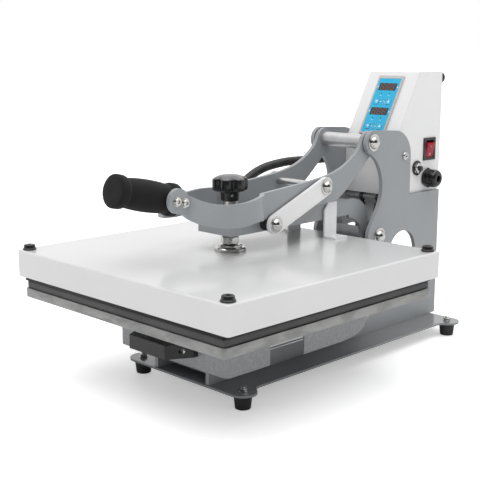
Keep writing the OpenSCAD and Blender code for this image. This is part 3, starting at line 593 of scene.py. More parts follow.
class PRESS_OT_stage(bpy.types.Operator):
    """Camera, pale floor and soft studio light"""
    bl_idname = "press.stage"
    bl_label = "Studio"

    def execute(self, context):
        camera = bpy.data.cameras.new("press_camera")
        camera.lens = 72.6
        camera.sensor_width = 36
        eye = bpy.data.objects.new("press_camera", camera)
        eye.location = (0.8946, -0.9823, 0.4360)
        eye.rotation_euler = Vector((-0.6958, 0.6912, -0.1953)).to_track_quat("-Z", "Y").to_euler()
        collection("Studio").objects.link(eye)
        context.scene.camera = eye

        f = Finish("floor_paper", looks().floor_white, 0.55)
        f.put(color=f.mix(f.shade(0.99), f.shade(1.01), f.noise(3, 3)), roughness=0.5 + 0.1 * f.noise(40))
        size = 60.0
        mesh = bpy.data.meshes.new("floor")
        mesh.from_pydata([(-size, -size, 0), (size, -size, 0), (size, size, 0), (-size, size, 0)], [],
                         [(0, 1, 2, 3)])
        lit = FINISHES["floor_paper"].node_tree
        out = next(n for n in lit.nodes if n.type == "OUTPUT_MATERIAL")
        paper = out.inputs["Surface"].links[0].from_socket
        glow, ray, both = (lit.nodes.new("ShaderNode" + kind) for kind in ("Emission", "LightPath",
                                                                           "AddShader"))
        seen = lit.nodes.new("ShaderNodeMixShader")
        glow.inputs["Strength"].default_value = FLOOR_GLOW
        lit.links.new(paper, both.inputs[0])
        lit.links.new(glow.outputs[0], both.inputs[1])
        lit.links.new(ray.outputs["Is Camera Ray"], seen.inputs[0])
        lit.links.new(paper, seen.inputs[1])
        lit.links.new(both.outputs[0], seen.inputs[2])
        lit.links.new(seen.outputs[0], out.inputs["Surface"])
        mesh.materials.append(FINISHES["floor_paper"])
        floor = bpy.data.objects.new("floor", mesh)
        collection("Studio").objects.link(floor)

        world = bpy.data.worlds.new("studio_air")
        world.use_nodes = True
        tree = world.node_tree
        sky = tree.nodes["Background"]
        sky.inputs["Color"].default_value = (1.0, 1.0, 1.0, 1.0)
        sky.inputs["Strength"].default_value = 0.55
        context.scene.world = world
        backdrop = tree.nodes.new("ShaderNodeBackground")
        cards = tree.nodes.new("ShaderNodeBackground")
        path = tree.nodes.new("ShaderNodeLightPath")
        seen = tree.nodes.new("ShaderNodeMixShader")
        gloss = tree.nodes.new("ShaderNodeMixShader")
        place = tree.nodes.new("ShaderNodeTexCoord")
        facing = tree.nodes.new("ShaderNodeVectorMath")
        facing.operation = "DOT_PRODUCT"
        facing.inputs[1].default_value = (0.69, -0.69, 0.10)
        height = tree.nodes.new("ShaderNodeSeparateXYZ")
        room = tree.nodes.new("ShaderNodeValToRGB")
        lamp_card = tree.nodes.new("ShaderNodeValToRGB")
        for ramp, stops in ((room, ((0.20, 0.95), (0.46, 0.05))), (lamp_card, ((0.56, 0.0), (0.66, 1.0)))):
            for element, (at, level) in zip(ramp.color_ramp.elements, stops):
                element.position = at
                element.color = (level, level, level, 1.0)
        lighter = tree.nodes.new("ShaderNodeVectorMath")
        lighter.operation = "MAXIMUM"
        tree.links.new(place.outputs["Generated"], facing.inputs[0])
        tree.links.new(place.outputs["Generated"], height.inputs[0])
        tree.links.new(facing.outputs["Value"], room.inputs[0])
        tree.links.new(height.outputs["Z"], lamp_card.inputs[0])
        tree.links.new(room.outputs[0], lighter.inputs[0])
        tree.links.new(lamp_card.outputs[0], lighter.inputs[1])
        tree.links.new(lighter.outputs[0], cards.inputs["Color"])
        tree.links.new(path.outputs["Is Glossy Ray"], gloss.inputs[0])
        tree.links.new(sky.outputs[0], gloss.inputs[1])
        tree.links.new(cards.outputs[0], gloss.inputs[2])
        tree.links.new(path.outputs["Is Camera Ray"], seen.inputs[0])
        tree.links.new(gloss.outputs[0], seen.inputs[1])
        tree.links.new(backdrop.outputs[0], seen.inputs[2])
        backdrop.inputs["Color"].default_value = (1.0, 1.0, 1.0, 1.0)
        tree.links.new(seen.outputs[0], next(n for n in tree.nodes if n.type == "OUTPUT_WORLD").inputs[0])

        sun = bpy.data.lights.new("ceiling_light", "SUN")
        sun.energy = 1.9
        sun.angle = math.radians(70)
        made = bpy.data.objects.new("ceiling_light", sun)
        made.rotation_euler = Vector((-0.06, 0.12, -1.0)).to_track_quat("-Z", "Y").to_euler()
        collection("Studio").objects.link(made)
        wide = sizes().softbox
        for name, place, power, width in (
                ("key_light", (1.5, -1.1, 1.6), 1.6, wide * 0.6),
                ("rim_light", (-0.8, 1.9, 1.6), 4.0, wide * 0.6)):
            lamp = bpy.data.lights.new(name, "AREA")
            lamp.energy = power
            lamp.size = width
            made = bpy.data.objects.new(name, lamp)
            made.location = place
            made.rotation_euler = (Vector((0, 0, 0.2)) - Vector(place)).to_track_quat("-Z", "Y").to_euler()
            collection("Studio").objects.link(made)
        context.scene.view_settings.view_transform = "Standard"
        context.scene.view_settings.look = "None"
        return {"FINISHED"}


class PRESS_OT_finishes(bpy.types.Operator):
    """All finishes, and the finish of every part that keeps its own shape"""
    bl_idname = "press.finishes"
    bl_label = "Finishes"

    coats = {
        "grey_coat": ("left_side_plate", "right_side_plate", "rear_brace", "arm_side_plates", "arm_top_plate",
                      "screw_block", "left_handle_arm", "right_handle_arm", "tie_rods"),
        "base_shaded_coat": ("base_plate",),
        "tray_coat": ("drawer_tray",),
        "bezel_grey": ("display_bezel",),
        "satin_tube": ("spacer_tube",),
        "box_white_lit": ("control_box", "back_panel", "link_bars", "guide_brackets"),
        "black_plastic": ("arm_bushes", "switch_bezel", "pull_handle"),
        "black_enamel": ("strut_cylinders",),
        "foot_rubber": ("rear_bumpers",),
        "ground_steel": ("tower_axles", "toggle_axle", "link_axle"),
        "turned_steel": ("strut_rods", "grip_core"),
        "zinc_sheet": ("fixed_rails", "mid_rails", "inner_rails"),
        "element_sheath": ("heating_element",),
        "blanket_fibre": ("insulation_blanket",),
        "key_film": ("temp_up_key", "temp_down_key", "time_up_key", "time_down_key"),
        "board_green": ("controller_board",),
    }

    def execute(self, context):
        make_finishes(looks())
        for finish, nodes in self.coats.items():
            for node in nodes:
                slots = NODES[node].data.materials
                if len(slots) == 0:
                    slots.append(FINISHES[finish])
                for i in range(len(slots)):
                    slots[i] = FINISHES[finish]
        return {"FINISHED"}


class PRESS_OT_hose(bpy.types.Operator):
    """Ribbed heater cable from the control box to the platen"""
    bl_idname = "press.hose"
    bl_label = "Heater cable"

    route = ((-46, 228, 263.5), (-59, 226, 264.5), (-70, 216, 265.5), (-75, 196, 266), (-76, 168, 266.5),
             (-76, 140, 267.5), (-76, 112, 268.5), (-76, 84, 269), (-76, 58, 267.5), (-76, 32, 264),
             (-76, 8, 256.5), (-76, -12, 245), (-76, -27, 229.5), (-76, -35.5, 210.5), (-76, -38, 191.3))

    def execute(self, context):
        coarse = smooth_line([Vector(p) * MM for p in self.route], 12)
        at = [0.0]
        for a, b in zip(coarse, coarse[1:]):
            at.append(at[-1] + (b - a).length)
        total, rib = at[-1], sizes().hose_rib
        radius = sizes().hose_diameter / 2
        rings, count, k = [], 20, 0
        step = rib / 4
        n = int(total / step)
        for i in range(n + 1):
            s = total * i / n
            while k < len(at) - 2 and at[k + 1] < s:
                k += 1
            t = (s - at[k]) / (at[k + 1] - at[k])
            p = coarse[k].lerp(coarse[k + 1], t)
            d0 = coarse[k + 1] - coarse[max(k - 1, 0)]
            d1 = coarse[min(k + 2, len(coarse) - 1)] - coarse[k]
            d = d0.normalized().lerp(d1.normalized(), t).normalized()
            rings.append((p, d, radius - 0.0005 * (0.5 - 0.5 * math.cos(math.pi / 2 * (i % 4)))))
        loops = []
        side = Vector((0, 0, 1))
        for p, d, r in rings:
            side = (side - d * side.dot(d)).normalized()
            other = d.cross(side)
            loops.append([p + r * (math.cos(2 * math.pi * j / count) * side
                                   + math.sin(2 * math.pi * j / count) * other)
                          for j in range(count)])
        verts, faces = stack(loops)
        made = piece("heater_hose", verts, faces, None, "hose_jacket", "cable_jacket", 60)
        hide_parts("heater_cable")
        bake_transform(made)
        collar = turned([(0, 0.0095), (0.0005, 0.0105), (0.003, 0.0105), (0.0035, 0.0088), (0.010, 0.0085),
                         (0.0105, 0.0075)],
                        toward((-0.0460, 0.228, 0.2635), (-1, 0, 0)), 24)
        piece("hose_grommet", *collar, "frame", "black_plastic", "cable_jacket")
        return {"FINISHED"}


class PRESS_OT_platens(bpy.types.Operator):
    """Cover, heating platen, pad and bed plate with their rounded edges"""
    bl_idname = "press.platens"
    bl_label = "Platens"

    def execute(self, context):
        lo, hi = box("upper_cover")
        edge = sizes().cover_edge
        profile = [(0.0016, lo.z + 0.0200), (0.0016, lo.z + 0.0002), (0.0012, lo.z), (0.0003, lo.z),
                   (0.0, lo.z + 0.0003)]
        for k in range(7):
            a = math.pi / 2 * k / 6
            profile.append((edge * (1 - math.cos(a)), hi.z - edge * (1 - math.sin(a))))
        made = piece("cover_shell", *slab(lo, hi, 0.0042, profile, 8), "platen", "white_coat",
                     "white_paint", 40)
        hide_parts("upper_cover")

        lo, hi = box("heating_platen")
        top = lo.z + 0.014
        made = piece("heater_plate", *round_slab(lo, Vector((hi.x, hi.y, top)), 0.003, 0.0009, 4),
                     "platen", "heater_casting", "heater_alloy")
        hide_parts("heating_platen")
        posts = []
        cover_top = box("upper_cover")[1].z - 0.002
        for x, y, r in ((-0.178, -0.176, 0.006), (0.178, -0.176, 0.006), (-0.178, 0.176, 0.006),
                        (0.178, 0.176, 0.006), (0, 0.004, 0.024)):
            at = Vector((x, y + middle("upper_cover").y, top - 0.001))
            posts.append(turned([(0, r + 0.001), (0.002, r), (cover_top - top, r)], toward(at, (0, 0, 1)),
                                20))
        piece("heater_posts", *join(posts), "platen", "turned_steel", "heater_alloy")

        lo, hi = box("silicone_pad")
        made = piece("pad_sheet", *round_slab(lo, hi, 0.003, 0.0014, 5), "drawer", "pad_silicone",
                     "pad_silicone")
        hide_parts("silicone_pad")
        lo, hi = box("bed_plate")
        made = piece("bed_slab", *round_slab(lo, hi, 0.005, 0.0007, 5, 2), "drawer", "milled_alloy",
                     "platen_alloy")
        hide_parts("bed_plate")

        caps = []
        lo, hi = box("cover_caps")
        top = box("upper_cover")[1].z
        for x in (lo.x + CAP_R, hi.x - CAP_R):
            for y in (lo.y + CAP_R, hi.y - CAP_R):
                rings = [(0, 0.0085), (0.0004, CAP_R), (0.0018, CAP_R), (0.0023, 0.0082), (0.0026, 0.0077),
                         (0.0056, 0.0075), (0.0066, 0.0071), (0.0070, 0.0064)]
                rings += socket_rings(0.0071, 0.0052, 0.0030, 0.0022)
                caps.append(turned(rings, toward((x, y, top), (0, 0, 1)), 36))
        made = piece("corner_caps", *join(caps), "platen", "gloss_black", "black_plastic")
        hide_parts("cover_caps")
        return {"FINISHED"}


class PRESS_OT_screw(bpy.types.Operator):
    """Threaded pressure screw, star knob, stop nut, flange and straight gland"""
    bl_idname = "press.screw"
    bl_label = "Pressure screw"

    def execute(self, context):
        lo, hi = box("pressure_screw")
        knob_lo = box("pressure_knob")[0]
        axis = Vector((0, middle("pressure_screw").y, 0))
        pitch, r = sizes().thread_pitch, 0.008
        z0, z1 = lo.z, knob_lo.z + 0.002
        count = 28
        loops = []
        steps = int((z1 - z0) / pitch * 6)
        for i in range(steps + 1):
            z = z0 + (z1 - z0) * i / steps
            loop = []
            for k in range(count):
                phase = (z / pitch + k / count) % 1.0
                rr = r - 0.0009 * (1 - abs(2 * phase - 1))
                a = 2 * math.pi * k / count
                loop.append(Vector((rr * math.cos(a), axis.y + rr * math.sin(a), z)))
            loops.append(loop)
        thread = stack(loops)
        sleeve_lo = box("screw_block")[1].z + 0.0065
        sleeve = turned([(0, 0.0082), (0, 0.0090), (0.0006, 0.0095), (knob_lo.z - sleeve_lo, 0.0095)],
                        toward((0, axis.y, sleeve_lo), (0, 0, 1)), 36)
        made = piece("screw_thread", *thread, "screw", "turned_steel", "ground_steel", 25)
        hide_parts("pressure_screw")
        piece("screw_sleeve", *sleeve, "screw", "turned_steel", "ground_steel")

        def star(size, deep):
            def radius(a):
                wave = 0.5 + 0.5 * math.cos(6 * a)
                return size - deep * (1 - wave) ** 2.2
            return radius
        base = Vector((0, axis.y, knob_lo.z))
        hub = 0.0130
        rings = [(0, 0.0082), (0, 0.0116), (0.0006, 0.0122), (0.0095, 0.0124), (0.0115, 0.0128),
                 (hub - 0.0005, 0.0142)]
        rings += [(hub, star(0.0200, 0.0034)), (hub + 0.0005, star(0.0219, 0.0050)),
                  (hub + 0.0018, star(0.0233, 0.0060)),
                  (hub + 0.0045, star(0.0235, 0.0062)), (hub + 0.0140, star(0.0235, 0.0062)),
                  (hub + 0.0154, star(0.0230, 0.0058)), (hub + 0.0162, star(0.0219, 0.0050))]
        made = piece("star_knob", *turned(rings, toward(base, (0, 0, 1)), 120), "screw", "gloss_black",
                     "black_plastic")
        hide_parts("pressure_knob")
        cap = [(hub + 0.0156, star(0.0223, 0.0051)), (hub + 0.0165, star(0.0216, 0.0046)),
               (hub + 0.0176, star(0.0200, 0.0034)),
               (hub + 0.0188, star(0.0174, 0.0019)), (hub + 0.0200, 0.0134), (hub + 0.0208, 0.0088),
               (hub + 0.0211, 0.0)]
        piece("knob_insert", *turned(cap, toward(base, (0, 0, 1)), 120), "screw", "knob_top",
              "black_plastic", 50)
        pin = turned([(0, 0.0018), (0.0020, 0.0018)] + socket_rings(0.0022, 0.0015, 0.0008, 0.0008),
                     toward(base + Vector((0.0103, -0.0067, 0.0080)), (0.84, -0.54, 0)), 20)
        piece("knob_grub_screw", *pin, "screw", "bright_steel", "bright_steel")

        lo, hi = box("lock_nut")
        nut = turned(hex_rings(0, hi.z - lo.z, 0.0107), toward((0, axis.y, lo.z), (0, 0, 1)), 72)
        grub = turned([(0, 0.0024), (0.0024, 0.0024)] + socket_rings(0.0027, 0.0020, 0.0012, 0.0010),
                      toward(Vector((0, axis.y, (lo.z + hi.z) / 2)) + Vector((0.707, -0.707, 0)) * 0.0100,
                             (0.707, -0.707, 0)), 20)
        made = piece("stop_nut", *join([nut, grub]), "screw", "bright_steel", "bright_steel")
        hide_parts("lock_nut")

        low = box("upper_cover")[1].z
        at = toward((0, axis.y, low), (0, 0, 1))
        disc = turned([(-0.001, 0.0160), (0.0, 0.0202), (0.0004, 0.0208), (0.0034, 0.0208),
                       (0.0048, 0.0196), (0.0048, 0.015)], at, 60)
        hexa = turned(hex_rings(0.0046, 0.0084, 0.0150), at, 72)
        made = piece("platen_flange", *join([disc, hexa]), "platen", "bright_steel", "ground_steel")
        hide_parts("thrust_collar")

        c = Vector((middle("platen_gland").x, middle("platen_gland").y, low))
        body = turned([(0, 0.0098)] + hex_rings(0.0002, 0.0050, 0.0086) + [(0.0052, 0.0080),
                                                                           (0.0056, 0.0078), (0.0062, 0.0084)]
                      + [(0.0066 + 0.0060 * k / 3,
                          lambda a: 0.0083 + 0.0002 * math.cos(16 * a)) for k in range(4)]
                      + [(0.0132, 0.0082), (0.0150, 0.0079), (0.0164, 0.0072), (0.0170, 0.0066)],
                      toward(c, (0, 0, 1)), 96)
        made = piece("platen_cable_gland", *body, "platen", "black_plastic", "black_plastic")
        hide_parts("platen_gland")
        return {"FINISHED"}


def dome_nut(where, r):
    """Washer and low domed cap, standing on the z of where."""
    wide, foot = r * 1.28, r * 0.965
    rings = [(0, wide - 0.0005), (0.0003, wide), (0.0012, wide), (0.0015, wide - 0.0004),
             (0.0015, foot - 0.0004),
             (0.0018, foot), (0.0026, foot)]
    rise = r * 0.62
    ball = (foot * foot + rise * rise) / (2 * rise)
    lean = math.asin(foot / ball)
    rings += [(0.0026 + rise - ball * (1 - math.cos(lean * (1 - k / 9))),
               ball * math.sin(lean * (1 - k / 9))) for k in range(10)]
    return turned(rings, where, 72)


class PRESS_OT_nuts(bpy.types.Operator):
    """Dome nuts on the pivots, and the grip's bolts"""
    bl_idname = "press.nuts"
    bl_label = "Dome nuts and bolts"

    def execute(self, context):
        def pair(name, node, body, r, places):
            parts = []
            for y, z, x in places:
                for side in (-1, 1):
                    parts.append(dome_nut(toward((side * x, y, z), (side, 0, 0)), r))
            made = piece(name, *join(parts), body, "bright_steel", "bright_steel")
            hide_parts(node)
        pair("tower_dome_nuts", "axle_nuts", "frame", TOWER_NUT_R,
             [(ARM_PIVOT.y, ARM_PIVOT.z, 0.052), (HANDLE_PIVOT.y, HANDLE_PIVOT.z, 0.052)])
        pair("axle_dome_nuts", "link_axle_nuts", "handle", LINK_NUT_R, [(LINK_PIVOT.y, LINK_PIVOT.z, 0.0513)])
        pair("toggle_dome_nuts", "link_stubs", "link", LINK_NUT_R, [(TOGGLE.y, TOGGLE.z, 0.051)])

        lo, hi = box("grip_bolts")
        r = 0.0060
        parts = []
        for y, z in ((lo.y + r, hi.z - r), (hi.y - r, lo.z + r)):
            parts.append(turned([(0, 0.0029), (0.056, 0.0029)], toward((-0.028, y, z), (1, 0, 0)), 20))
            head = [(0, 0.0058), (0.0005, 0.0060), (0.0010, 0.0060), (0.0010, 0.0049), (0.0032, 0.0049),
                    (0.0038, 0.0044)] + socket_rings(0.0039, 0.0034, 0.0025, 0.0024)
            parts.append(turned(head, toward((0.028, y, z), (1, 0, 0)), 48))
            parts.append(turned([(0, 0.0058), (0.0006, 0.0058)] + hex_rings(0.0007, 0.0038, 0.0051),
                                toward((-0.028, y, z), (-1, 0, 0)), 72))
        made = piece("grip_button_bolts", *join(parts), "handle", "bright_steel", "bright_steel")
        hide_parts("grip_bolts")
        return {"FINISHED"}


class PRESS_OT_grip(bpy.types.Operator):
    """Foam grip with its two flanges"""
    bl_idname = "press.grip"
    bl_label = "Foam grip"

    def execute(self, context):
        tilt = math.radians(GRIP_TILT)
        out = Vector((0, -math.cos(tilt), math.sin(tilt)))
        lo, hi = box("foam_grip")
        size = 0.0208
        start = Vector((0, hi.y - size * math.sin(tilt), 0))
        start.z = lo.z + size * math.cos(tilt)
        reach = 0.096
        swell = sizes().foam_swell
        rings = [(0.0, 0.0088), (0.0, 0.0185), (0.0004, 0.0198), (0.0014, 0.0206), (0.0030, 0.0208),
                 (0.0090, 0.0207),
                 (0.0108, 0.0203), (0.0122, 0.0190), (0.0136, 0.0178)]
        for k in range(1, 24):
            t = k / 24
            rings.append((0.0140 + (reach - 0.0300) * t,
                          0.0176 - 0.0004 * t + (swell + 0.0009) * math.sin(math.pi * t) ** 0.7))
        rings += [(reach - 0.0156, 0.0172), (reach - 0.0142, 0.0182), (reach - 0.0126, 0.0199),
                  (reach - 0.0104, 0.0205),
                  (reach - 0.0036, 0.0206), (reach - 0.0018, 0.0202), (reach - 0.0006, 0.0188),
                  (reach, 0.0160), (reach, 0.0060),
                  (reach - 0.0004, 0.0)]
        made = piece("grip_sleeve", *turned(rings, toward(start, out), 72), "handle", "grip_foam",
                     "grip_foam", 55)
        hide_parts("foam_grip")
        return {"FINISHED"}


def on_slope(lo, hi, low, high, corner, edge=0.0):
    """A rounded plate on the box's sloping front, in millimetres across, up and out of it."""
    a = Vector((lo[0], lo[1], low)) * MM
    b = Vector((hi[0], hi[1], high)) * MM
    verts, faces = round_slab(a, b, corner * MM, max(edge, 0.02) * MM, 4, 1)
    return [SLOPE @ v for v in verts], faces


class PRESS_OT_display(bpy.types.Operator):
    """Printed film, smoked windows, digits, lamps and key marks"""
    bl_idname = "press.display"
    bl_label = "Display"

    def execute(self, context):
        top = 3.4
        keys = [(x, y) for y in (62, 21) for x in (-11, 11)]
        verts, faces = self.film(keys)
        made = piece("film_sheet", verts, faces, "frame", "label_film", "label_film", 20)
        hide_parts("display_label")
        panes, digits, lamps, marks = [], [], [], []
        for y in (87, 46):
            panes.append(on_slope((-16, y - 6.2), (16, y + 6.2), top - 0.1, top + 0.12, 0.6))
            for x in (-9.4, 0, 9.4):
                digits += self.digit(x, y, 6.0, 9.4, top + 0.16)
                digits.append(on_slope((x + 4.3, y - 4.8), (x + 5.1, y - 4.0), top + 0.12, top + 0.17, 0.3))
            for x in (-7.5, 7.5):
                lamps.append(on_slope((x - 1.1, y - 12.2), (x + 1.1, y - 10.0), top - 0.1, top + 0.25, 1.1,
                                      0.1))
                marks.append(on_slope((x - 1.6, y - 15.0), (x + 1.6, y - 14.4), top - 0.1, top + 0.04, 0.2))
            for x in (-18.2, 18.2):
                marks.append(on_slope((x - 0.7, y - 1.6), (x + 0.7, y + 1.0), top - 0.1, top + 0.04, 0.5))
        for x, y in keys:
            up = 1 if x > 0 else -1
            tip = top + 0.56
            marks.append(self.arrow(x, y + 0.2, 2.3, up, tip))
            marks += self.outline(x, y, 4.75, 5.25, top + 0.03)
        for y in (62, 21):
            for x in (-3.2, 3.2):
                marks += self.outline(x, y, 2.4, 4.2, top + 0.03)
                marks.append(on_slope((x - 1.2, y - 0.5), (x + 1.2, y + 0.5), top - 0.1, top + 0.04, 0.4))
        piece("window_panes", *join(panes), "frame", "smoked_window", "label_film")
        piece("digit_segments", *join(digits), "frame", "segment_dim", "label_film")
        piece("indicator_lamps", *join(lamps), "frame", "indicator", "label_film")
        piece("label_marks", *join(marks), "frame", "print_white", "label_film")
        return {"FINISHED"}

    @staticmethod
    def film(keys):
        """Strips of film that leave the keys open."""
        low, high = 2.8, 3.4
        parts = []
        rows = [(12.0, 16.2, False), (16.2, 25.8, True), (25.8, 57.2, False), (57.2, 66.8, True),
                (66.8, 101.0, False)]
        for y0, y1, holes in rows:
            spans = [(-20, -15.3), (-6.7, 6.7), (15.3, 20)] if holes else [(-20, 20)]
            for x0, x1 in spans:
                parts.append(on_slope((x0, y0), (x1, y1), low, high, 0.02, 0.0))
        return join(parts)

    @staticmethod
    def digit(x, y, wide, tall, lift):
        w, h, t, lean = wide / 2, tall / 2, 0.55, 0.09
        bars = (((-w, h), (w, h)), ((-w, 0), (w, 0)), ((-w, -h), (w, -h)), ((-w, 0), (-w, h)),
                ((w, 0), (w, h)),
                ((-w, -h), (-w, 0)), ((w, -h), (w, 0)))
        made = []
        for (ax, ay), (bx, by) in bars:
            a, b = Vector((ax, ay)), Vector((bx, by))
            d = (b - a).normalized()
            n = Vector((-d.y, d.x)) * t
            a, b = a + d * 0.35, b - d * 0.35
            ring = [a, a + d * t - n, b - d * t - n, b, b - d * t + n, a + d * t + n]
            ring = [Vector((x + p.x + p.y * lean, y + p.y, lift)) * MM for p in ring]
            verts = [SLOPE @ p for p in ring] + [SLOPE @ (p - Vector((0, 0, 0.08 * MM))) for p in ring]
            faces = [tuple(range(6))] + [(i, 6 + i, 6 + (i + 1) % 6, (i + 1) % 6) for i in range(6)]
            made.append((verts, faces))
        return made

    @staticmethod
    def arrow(x, y, size, up, lift):
        ring = [(x - size, y - up * size * 0.6), (x + size, y - up * size * 0.6), (x, y + up * size)]
        if up < 0:
            ring.reverse()
        top = [SLOPE @ (Vector((a, b, lift)) * MM) for a, b in ring]
        low = [SLOPE @ (Vector((a, b, lift - 0.1)) * MM) for a, b in ring]
        return top + low, [(0, 1, 2), (0, 3, 4, 1), (1, 4, 5, 2), (2, 5, 3, 0)]

    @staticmethod
    def outline(x, y, w, h, lift):
        t = 0.35
        return [on_slope((x - w, y - h), (x + w, y - h + t), lift - 0.12, lift, 0.15),
                on_slope((x - w, y + h - t), (x + w, y + h), lift - 0.12, lift, 0.15),
                on_slope((x - w, y - h + t), (x - w + t, y + h - t), lift - 0.12, lift, 0.15),
                on_slope((x + w - t, y - h + t), (x + w, y + h - t), lift - 0.12, lift, 0.15)]


class PRESS_OT_side_panel(bpy.types.Operator):
    """Rocker, fuse holder and mains gland on the box's right side"""
    bl_idname = "press.side_panel"
    bl_label = "Side panel"

    def execute(self, context):
        c = middle("rocker")
        wide, tall = 0.0095, 0.0117
        turn = Matrix.Translation((0.044, c.y, c.z)) @ Matrix.Rotation(math.radians(10), 4, "Y")
        loops = []
        rows = 17
        for i in range(rows):
            z = tall * (2 * i / (rows - 1) - 1)
            u = abs(z) / tall
            front = 0.0048 + (0.0016 if z > 0 else 0.0006) * u ** 1.5
            end = 0.0012 if i in (0, rows - 1) else 0.0
            soft = 0.0007
            ring = [(-0.004, -wide + end), (-0.004, wide - end), (front - soft - end, wide - end * 0.5),
                    (front - 0.2 * soft - end, wide - soft),
                    (front - end, wide - 2.2 * soft), (front - end, -wide + 2.2 * soft),
                    (front - 0.2 * soft - end, -wide + soft),
                    (front - soft - end, -wide + end * 0.5)]
            loops.append([turn @ Vector((x, y, z)) for x, y in ring])
        made = piece("rocker_paddle", *stack(loops), "rocker_body", "rocker_red", "switch_red", 50)
        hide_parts("rocker")
        marks = []
        for k in range(20):
            a0, a1 = 2 * math.pi * k / 20, 2 * math.pi * (k + 1) / 20
            quad = [(r * math.cos(a), -0.0062 + r * math.sin(a)) for r,
                    a in ((0.0015, a0), (0.0020, a0), (0.0020, a1), (0.0015, a1))]
            marks.append(([turn @ Vector((0.0052, y, z)) for y, z in quad], [(0, 1, 2, 3)]))
        bar = [(-0.0003, 0.0045), (0.0003, 0.0045), (0.0003, 0.0080), (-0.0003, 0.0080)]
        marks.append(([turn @ Vector((0.0055, y, z)) for y, z in bar], [(0, 1, 2, 3)]))
        piece("rocker_marks", *join(marks), "rocker_body", "print_white", "switch_red")

        lo, hi = box("fuse_holder")
        at = Vector((BOX_HI.x, middle("fuse_holder").y, middle("fuse_holder").z))
        where = toward(at, (1, 0, 0))
        flange = turned([(0, 0.0110), (0.0004, 0.0112), (0.0020, 0.0112), (0.0025, 0.0106),
                         (0.0025, 0.0075)], where, 48)
        cap = turned([(0.0060, 0.0036), (0.0064, 0.0038)] + [(0.0068 + 0.0026 * k / 4,
            lambda a: 0.0038 + 0.0002 * math.cos(16 * a)) for k in range(5)]
                     + [(0.0100, 0.0036), (0.0104, 0.0030), (0.0104, 0.0)], where, 96)
        nut = turned([(0.0024, 0.0080)] + [(0.0028 + 0.0026 * k / 3,
                                            lambda a: 0.0077 + 0.0005 * math.cos(4 * a)) for k in range(4)]
                     + [(0.0060, 0.0070), (0.0062, 0.0052), (0.0062, 0.0034)], where, 96)
        made = piece("fuse_body", *join([flange, cap]), "frame", "gloss_black", "black_plastic")
        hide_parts("fuse_holder")
        piece("fuse_ring", *nut, "frame", "bright_steel", "bright_steel")

        at = Vector((BOX_HI.x, middle("mains_gland").y, middle("mains_gland").z))
        where = toward(at, (1, 0, 0))
        base = turned([(0, 0.0130)] + hex_rings(0.0002, 0.0058, 0.0133), where, 72)

        def knurl(a):
            return 0.0132 + 0.0005 * math.cos(10 * a)
        body = turned([(0.0058, 0.0118), (0.0062, 0.0122)] + [(0.0068, knurl), (0.0160, knurl),
                                                              (0.0168, 0.0131)]
                      + [(0.0168 + 0.0058 * math.sin(math.pi / 2 * k / 5),
                          0.0078 + 0.0053 * math.cos(math.pi / 2 * k / 5)) for k in range(1, 6)]
                      + [(0.0226, 0.0054), (0.0120, 0.0051), (0.0020, 0.0050)], where, 108)
        seal = turned([(0.0218, 0.0052), (0.0221, 0.0066), (0.0216, 0.0068), (0.0205, 0.0052)], where, 40,
                      True)
        made = piece("gland_body", *join([base, body]), "frame", "gloss_black", "black_plastic")
        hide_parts("mains_gland")
        piece("gland_seal", *seal, "frame", "foot_rubber", "foot_rubber")
        return {"FINISHED"}


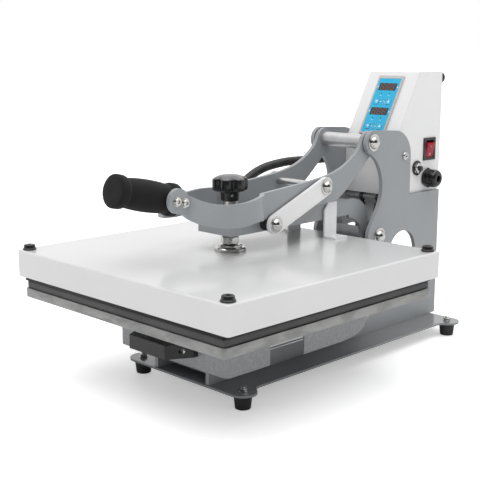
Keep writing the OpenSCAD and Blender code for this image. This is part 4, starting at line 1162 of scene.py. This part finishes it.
class PRESS_OT_base(bpy.types.Operator):
    """Rubber feet, foot bolts, case screws and drawer handle screws"""
    bl_idname = "press.base"
    bl_label = "Feet and screws"

    def execute(self, context):
        lo, hi = box("rubber_feet")
        r = 0.012
        feet, bolts = [], []
        plate = box("base_plate")[1].z
        for x in (lo.x + r, hi.x - r):
            for y in (lo.y + r, hi.y - r):
                rings = [(0.0058, 0.0030), (0.0058, 0.0066), (0.0005, 0.0070), (0.0, 0.0074), (0.0, 0.0088),
                         (0.0004, 0.0095), (0.0012, 0.0100)]
                rings += [(0.0040, 0.01025), (0.0170, 0.01175), (0.0182, 0.0119), (0.0190, 0.0114),
                          (0.0190, 0.0034)]
                feet.append(turned(rings, toward((x, y, 0), (0, 0, 1)), 48, True))
                bolts.append(turned(hex_rings(0.0022, 0.0056, 0.0047), toward((x, y, 0), (0, 0, 1)), 72))
                shank = [(0.0056, 0.0029)] + [(plate - 0.001 + 0.00025 * k,
                                               0.0029 if k % 4 < 2 else 0.00265) for k in range(31)]
                bolts.append(turned(shank + [(plate + 0.0068, 0.0020)], toward((x, y, 0), (0, 0, 1)), 24))
                washer = [(plate, 0.0056), (plate + 0.0002, 0.0058), (plate + 0.0008, 0.0058),
                          (plate + 0.0010, 0.0055)]
                bolts.append(turned(washer, toward((x, y, 0), (0, 0, 1)), 36))
                bolts.append(turned(hex_rings(plate + 0.0010, plate + 0.0044, 0.0047),
                                    toward((x, y, 0), (0, 0, 1)), 72))
        made = piece("foot_pads", *join(feet), "frame", "foot_rubber", "foot_rubber")
        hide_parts("rubber_feet")
        made = piece("foot_studs", *join(bolts), "frame", "bright_steel", "bright_steel")
        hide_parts("foot_bolts")

        screws = []
        lo, hi = box("case_screws")
        for x in (-0.038, 0.038):
            for z in (BOX_LO.z + 0.010, BOX_HI.z - 0.026):
                screws.append(self.cross_head(toward((x, BOX_HI.y, z), (0, 1, 0)), 0.0032, 0.0020))
        for side in (-1, 1):
            screws.append(self.cross_head(toward((side * 0.052, HANDLE_PIVOT.y + 0.076,
                                                  HANDLE_PIVOT.z - 0.025), (side, 0, 0)), 0.0064, 0.0034))
        made = piece("box_screws", *join(screws), "frame", "bright_steel", "bright_steel")
        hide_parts("case_screws")

        lo, hi = box("inner_rails")
        bolts, y0 = [], middle("upper_cover").y
        for side in (-1, 1):
            for y, z, r in ((0.031, 0.0135, 0.0042), (0.016, 0.0150, 0.0024), (0.005, 0.0170, 0.0024)):
                at = (side * hi.x, y0 + y, hi.z - z)
                bolts.append(turned([(-0.0010, r)] + [(0.0002, r), (0.0010, r * 0.93), (0.0016, r * 0.7),
                                                      (0.0018, r * 0.4), (0.0010, 0.0)],
                                    toward(at, (side, 0, 0)), 28))
        piece("slide_rivets", *join(bolts), "drawer", "bright_steel", "bright_steel")

        screws = []
        lo, hi = box("pull_handle")
        for x in (-0.044, 0.044):
            screws.append(self.cross_head(toward((x, lo.y + 0.0215, (lo.z + hi.z) / 2), (0, -1, 0)), 0.0038,
                                          0.0022))
        piece("pull_screws", *join(screws), "drawer", "bright_steel", "bright_steel")
        return {"FINISHED"}

    @staticmethod
    def cross_head(where, r, h):
        """A pan head with a cross recess."""
        def recess(size):
            def radius(a):
                arm = abs(math.cos(2 * a)) ** 6
                return size * (0.30 + 0.70 * arm)
            return radius
        rings = [(0, r), (h * 0.35, r), (h * 0.7, r * 0.93), (h * 0.92, r * 0.78), (h, r * 0.62),
                 (h, recess(r * 0.58)), (h * 0.55, recess(r * 0.40)), (h * 0.3, 0.0)]
        return turned(rings, where, 48)


class PRESS_PT_panel(bpy.types.Panel):
    """Builds the press piece by piece"""
    bl_idname = "PRESS_PT_panel"
    bl_label = "Heat press"
    bl_space_type = "VIEW_3D"
    bl_region_type = "UI"
    bl_category = "Heat press"

    def draw(self, context):
        column = self.layout.column()
        for operator in OPERATORS:
            column.operator(operator.bl_idname)
        for group in (context.scene.press_looks, context.scene.press_sizes):
            for name in group.__annotations__:
                self.layout.prop(group, name)


OPERATORS = (PRESS_OT_stage, PRESS_OT_finishes, PRESS_OT_hose, PRESS_OT_platens, PRESS_OT_screw,
             PRESS_OT_nuts,
             PRESS_OT_grip, PRESS_OT_display, PRESS_OT_side_panel, PRESS_OT_base)
CLASSES = (PressLooks, PressSizes) + OPERATORS + (PRESS_PT_panel,)


def register():
    for made in CLASSES:
        bpy.utils.register_class(made)
    bpy.types.Scene.press_looks = bpy.props.PointerProperty(type=PressLooks)
    bpy.types.Scene.press_sizes = bpy.props.PointerProperty(type=PressSizes)


def unregister():
    del bpy.types.Scene.press_sizes
    del bpy.types.Scene.press_looks
    for made in reversed(CLASSES):
        bpy.utils.unregister_class(made)


def main():
    register()
    bpy.ops.press.stage()
    bpy.ops.press.finishes()
    bpy.ops.press.hose()
    bpy.ops.press.platens()
    bpy.ops.press.screw()
    bpy.ops.press.nuts()
    bpy.ops.press.grip()
    bpy.ops.press.display()
    bpy.ops.press.side_panel()
    bpy.ops.press.base()


if __name__ == "__main__":
    main()
